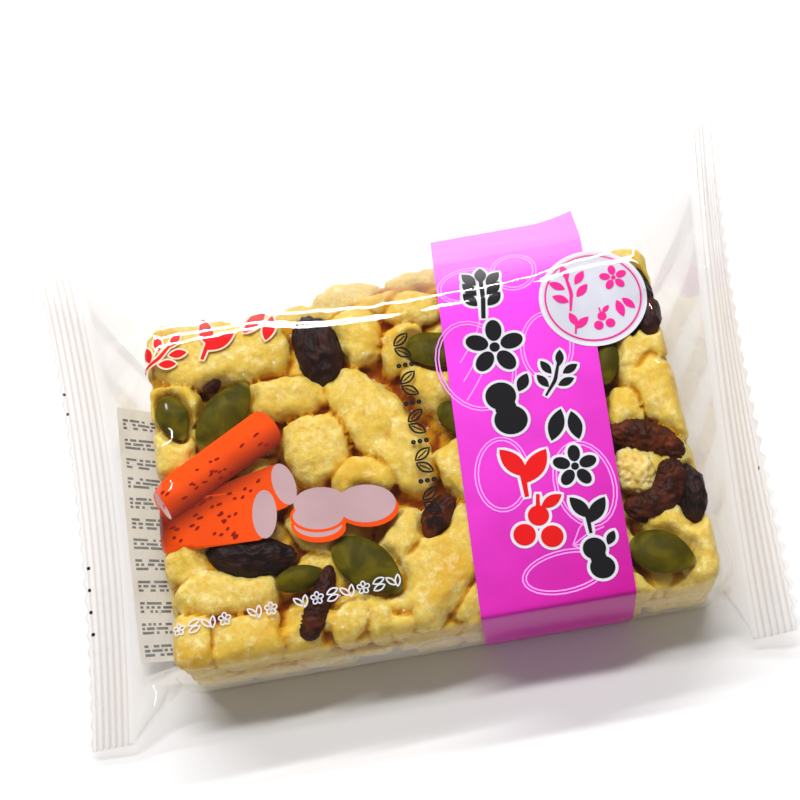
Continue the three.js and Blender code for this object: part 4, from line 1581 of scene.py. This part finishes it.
def root_shape(x, y, length, width, degrees):
    """A root with a round far end and a square near one."""
    turn = np.linspace(-math.pi / 2, math.pi / 2, 12)
    right = np.stack([length / 2 - width / 4 + np.cos(turn) * width / 4, np.sin(turn) * width / 2], 1)
    left = np.stack([-length / 2 - np.cos(turn) * width / 9, -np.sin(turn) * width / 2], 1)
    return rotated(np.concatenate([right, left]), degrees) + (x, y)


def root_fade(x, y):
    """How brown the roots are: along the lower side of the one on top, and in its shade on the others."""
    cx, cy, length, width, degrees = ROOTS[-1]
    along, across = rotated(np.array([(x - cx, y - cy)]), -degrees)[0]
    if abs(along) < length / 2 + 1 and abs(across) < width / 2 + 0.1:
        return float(np.clip(0.22 - 0.8 * across / (width / 2), 0, 0.95))
    shade = np.clip(1 - (-across - width / 2) / ROOT_SHADE, 0, 1) * (along < length / 2)
    return float(0.15 + 0.8 * shade)


def root_end(root):
    """The middle of a root's cut end."""
    x, y, length, width, degrees = root
    along = TOP_CUT_INSET - length / 2 if root == ROOTS[-1] else length / 2 - CUT_INSET
    return rotated(np.array([(along, 0)]), degrees)[0] + (x, y)


def root_specks():
    """Small brown specks on the roots, none of them on a cut end."""
    random = seeded_random(SPECK_SEED)
    specks = []
    for x, y, length, width, degrees in ROOTS:
        for _ in range(SPECKS_ON_ROOT):
            spot = ((random() - 0.55) * length * 0.8, (random() - 0.5) * width * 0.8)
            middle = rotated(np.array([spot]), degrees)[0] + (x, y)
            size = 0.6 + 0.6 * random()
            if all(math.hypot(*(middle - root_end(root))) > width * SPECK_CLEARANCE for root in ROOTS[:-1]):
                specks.append(oval(*middle, size, 0.42, 40 * random(), 8))
    return specks


# Tiny marks at the edges of the seals: the seal's side, how far along it, and how far in from its edge.
# They stand a little outside the film.
TICK_LENGTH = 0.7
TICK_COLUMNS = 0.9
TICK_DEPTH = -0.03
EDGE_TICKS = [(-1, 0.2, 1.8), (-1, 0.24, 1.6), (-1, 0.28, 1.6), (-1, 0.32, 1.8), (-1, 0.62, 1.2),
              (-1, 0.66, 1.2), (1, 0.28, 1.4)]


def make_ticks(sheet):
    """Tiny printed ticks along the edges of the seals."""
    points, faces = [], []
    step = SEAL_WIDTH / SEAL_STATIONS
    last_row = len(sheet.grid) - 1
    for side, along, inset in EDGE_TICKS:
        column = HALF_RING * along
        first = inset / step if side < 0 else last_row - (inset + TICK_LENGTH) / step
        last = first + TICK_LENGTH / step
        start = len(points)
        for row, shift in ((first, 0), (first, TICK_COLUMNS), (last, TICK_COLUMNS), (last, 0)):
            low = int(column + shift)
            share = column + shift - low
            near, far = sheet.at(row, low, TICK_DEPTH), sheet.at(row, low + 1, TICK_DEPTH)
            points.append(near * (1 - share) + far * share)
        faces.append((start, start + 1, start + 2, start + 3))
    ink_piece("edge_ticks", points, faces, "black_ink")


def make_badge(sheet):
    """The round badge: a pale disc, its rim, and a ring of marks."""
    def circle(inset):
        return oval(*BADGE_AT, BADGE_SIZE - inset, BADGE_SIZE - inset, 0, 60)

    print_piece("badge", sheet, [filled([circle(0)])], BADGE_DEPTH, "badge_ink")
    print_piece("badge_rim", sheet, [rim(circle(0.6), 0.6)], OUTLINE_DEPTH, "white_ink")
    marks = [rim(circle(2.2), 0.3), filled(marks_at(BADGE_MARKS, BADGE_AT))]
    print_piece("badge_marks", sheet, marks, MARK_DEPTH, "rose_ink")


def make_roots(sheet):
    """The roots with their cut ends, the slices beside them, and the specks on the roots."""
    for step, root in enumerate(ROOTS):
        width, degrees = root[3:]
        print_piece("root_" + "abc"[step], sheet, [filled([root_shape(*root)])], ROOT_DEPTHS[step], "orange_ink",
                    root_fade)
        cut_width = TOP_CUT_WIDTH if root == ROOTS[-1] else width * CUT_ROUNDNESS
        cut = oval(*root_end(root), cut_width, width * 0.96, degrees)
        print_piece("root_cut_" + "abc"[step], sheet, [filled([cut])], CUT_DEPTHS[step], "cut_ink")
    rims = [oval(x + 0.2, y - 0.8, length + 0.3, width, SLICE_TILT) for x, y, length, width in SLICES]
    print_piece("slice_rims", sheet, [filled(rims)], SLICE_DEPTH, "orange_ink", lambda x, y: 0.15)
    for step, (x, y, length, width) in enumerate(SLICES):
        depth = SLICE_DEPTH - SLICE_LIFT * (step + 1)
        slice_face = filled([oval(x, y, length, width, SLICE_TILT)])
        print_piece("slice_" + "abcd"[step], sheet, [slice_face], depth, "cut_ink")
        if step < SLICES_WITH_EDGE:
            edge = rim(oval(x + 0.1, y - 0.1, length, width, SLICE_TILT), 0.5)
            print_piece("slice_edge_" + "ab"[step], sheet, [edge], depth - SLICE_LIFT / 2, "orange_ink",
                        lambda x, y: 0.1)
    print_piece("root_specks", sheet, [filled([speck]) for speck in root_specks()], MARK_DEPTH, "brown_ink")


def make_print(sheet):
    """Every printed piece, laid inside the film."""
    make_band(sheet)
    make_label(sheet)
    marks, reds, leaves = marks_at(BAND_MARKS), marks_at(RED_MARKS), marks_at(BRUSH_LEAVES)
    for name, shapes, depth, ink in (
            ("line_art", line_art(), LINE_DEPTH, "pale_pink_ink"),
            ("mark_outlines", [haloed(marks + reds, MARK_RIM)], OUTLINE_DEPTH, "white_ink"),
            ("black_marks", [filled(marks)], MARK_DEPTH, "black_ink"),
            ("red_marks", [filled(reds)], MARK_DEPTH, "red_ink"),
            ("leaf_halos", [haloed(leaves, LEAF_HALO)], OUTLINE_DEPTH, "halo_ink"),
            ("brush_leaves", [filled(leaves)], MARK_DEPTH, "red_ink"),
            ("stamped_row", stamped_row(), MARK_DEPTH, "black_ink"),
            ("pale_row", pale_row(), MARK_DEPTH, "white_ink")):
        print_piece(name, sheet, shapes, depth, ink)
    make_badge(sheet)
    make_roots(sheet)
    make_ticks(sheet)


# The picture's camera, the stage and the light

CAMERA_AZIMUTH = 3.45
CAMERA_ELEVATION = 67.27
CAMERA_ROLL = -13.10
CAMERA_TARGET = (-1.68, 8.37, 20)
CAMERA_DISTANCE = 238.1
FOCAL_PIXELS = 1400
PICTURE_PIXELS = 800
SENSOR_WIDTH = 36

FLOOR_HALF_SIZE = 1500
LAMP_DISTANCE = 900
# Each lamp's direction from the pack, its length and width, its power, and whether the film mirrors it
LAMPS = {
    "high_lamp": ((-0.04, 0.36, 1), (500, 50), 5, False),
    "back_lamp": ((-0.05, 0.78, 1), (1000, 19), 6, True),
    "front_lamp": ((0.1, -1, 0.3), (700, 200), 0.4, False),
}
SKY_COLOUR = (1, 0.985, 0.97, 1)
SKY_STRENGTH = 0.2


def make_camera():
    """The picture's camera, from its direction, its roll and the point it looks at."""
    az, el, roll = (math.radians(a) for a in (CAMERA_AZIMUTH, CAMERA_ELEVATION, CAMERA_ROLL))
    back = Vector((math.sin(az) * math.cos(el), -math.cos(az) * math.cos(el), math.sin(el)))
    right = Vector((math.cos(az), math.sin(az), 0))
    up = back.cross(right)
    turned_right = math.cos(roll) * right + math.sin(roll) * up
    turned_up = -math.sin(roll) * right + math.cos(roll) * up
    camera = bpy.data.cameras.new("camera")
    camera.sensor_width = SENSOR_WIDTH
    camera.lens = FOCAL_PIXELS / PICTURE_PIXELS * SENSOR_WIDTH
    camera.clip_start = 0.01
    holder = bpy.data.objects.new("camera", camera)
    place = (Vector(CAMERA_TARGET) + back * CAMERA_DISTANCE) * MM
    facing = Matrix((turned_right, turned_up, back)).transposed().to_4x4()
    holder.matrix_world = Matrix.Translation(place) @ facing
    bpy.context.scene.collection.objects.link(holder)
    bpy.context.scene.camera = holder


def make_stage():
    """A wide pale floor."""
    material, node, place = new_material("pale_floor")
    colour = mix_colour(node, clouds(node, place, 6, 2), *FLOOR_TONES)
    show(node, node("BsdfPrincipled", {"Base Color": colour, "Roughness": 0.7, "Specular IOR Level": 0.2}))
    size = FLOOR_HALF_SIZE
    corners = [(-size, -size, 0), (size, -size, 0), (size, size, 0), (-size, size, 0)]
    floor = new_piece("floor", corners, [(0, 1, 2, 3)], material, smooth=False)


def area_light(name, place, target, size, power):
    """A long lamp at a place, turned towards its target."""
    light = bpy.data.lights.new(name, "AREA")
    light.shape = "RECTANGLE"
    light.size, light.size_y = size[0] * MM, size[1] * MM
    light.energy = power
    holder = bpy.data.objects.new(name, light)
    holder.location = Vector(place) * MM
    direction = (Vector(place) - Vector(target)).normalized()
    holder.rotation_euler = direction.to_track_quat("Z", "Y").to_euler()
    bpy.context.scene.collection.objects.link(holder)
    return holder


def make_light():
    """Two long lamps behind the pack, one high and one lower, a weak one in front and a soft sky."""
    world = bpy.data.worlds.new("studio")
    world.use_nodes = True
    sky = world.node_tree.nodes["Background"]
    sky.inputs["Color"].default_value = SKY_COLOUR
    sky.inputs["Strength"].default_value = SKY_STRENGTH
    bpy.context.scene.world = world
    target = np.array([0, 0, BLOCK_HEIGHT])
    for name, (direction, size, power, mirrored) in LAMPS.items():
        place = target + LAMP_DISTANCE * np.array(direction) / np.linalg.norm(direction)
        lamp = area_light(name, place, target, size, power)
        lamp.visible_glossy = mirrored


def contents_tree(pieces):
    """What the film rests on, as one surface that rays can be cast at."""
    points, faces = joined([triangles_of(piece) for piece in pieces])
    return BVHTree.FromPolygons(points.tolist(), faces.tolist())


def main():
    bpy.context.scene.view_settings.view_transform = "Standard"
    make_camera()
    make_stage()
    make_light()
    sweet = make_sweet(dough_material("dough", DOUGH_TONES))
    crumb = make_crumb(dough_material("pale_dough", CRUMB_TONES))
    raisins = make_raisins(raisin_material())
    seeds = make_seeds(seed_material())
    film, grid, left_count = make_film(film_material(), contents_tree((sweet, crumb, raisins, seeds)))
    make_print(Sheet(grid, left_count))
    for piece, slot in ((sweet, "dough"), (crumb, "dough"), (raisins, "raisin"), (seeds, "seed"),
                        (film, "film")):
        finish_piece(piece)


main()
bpy.context.view_layer.update()
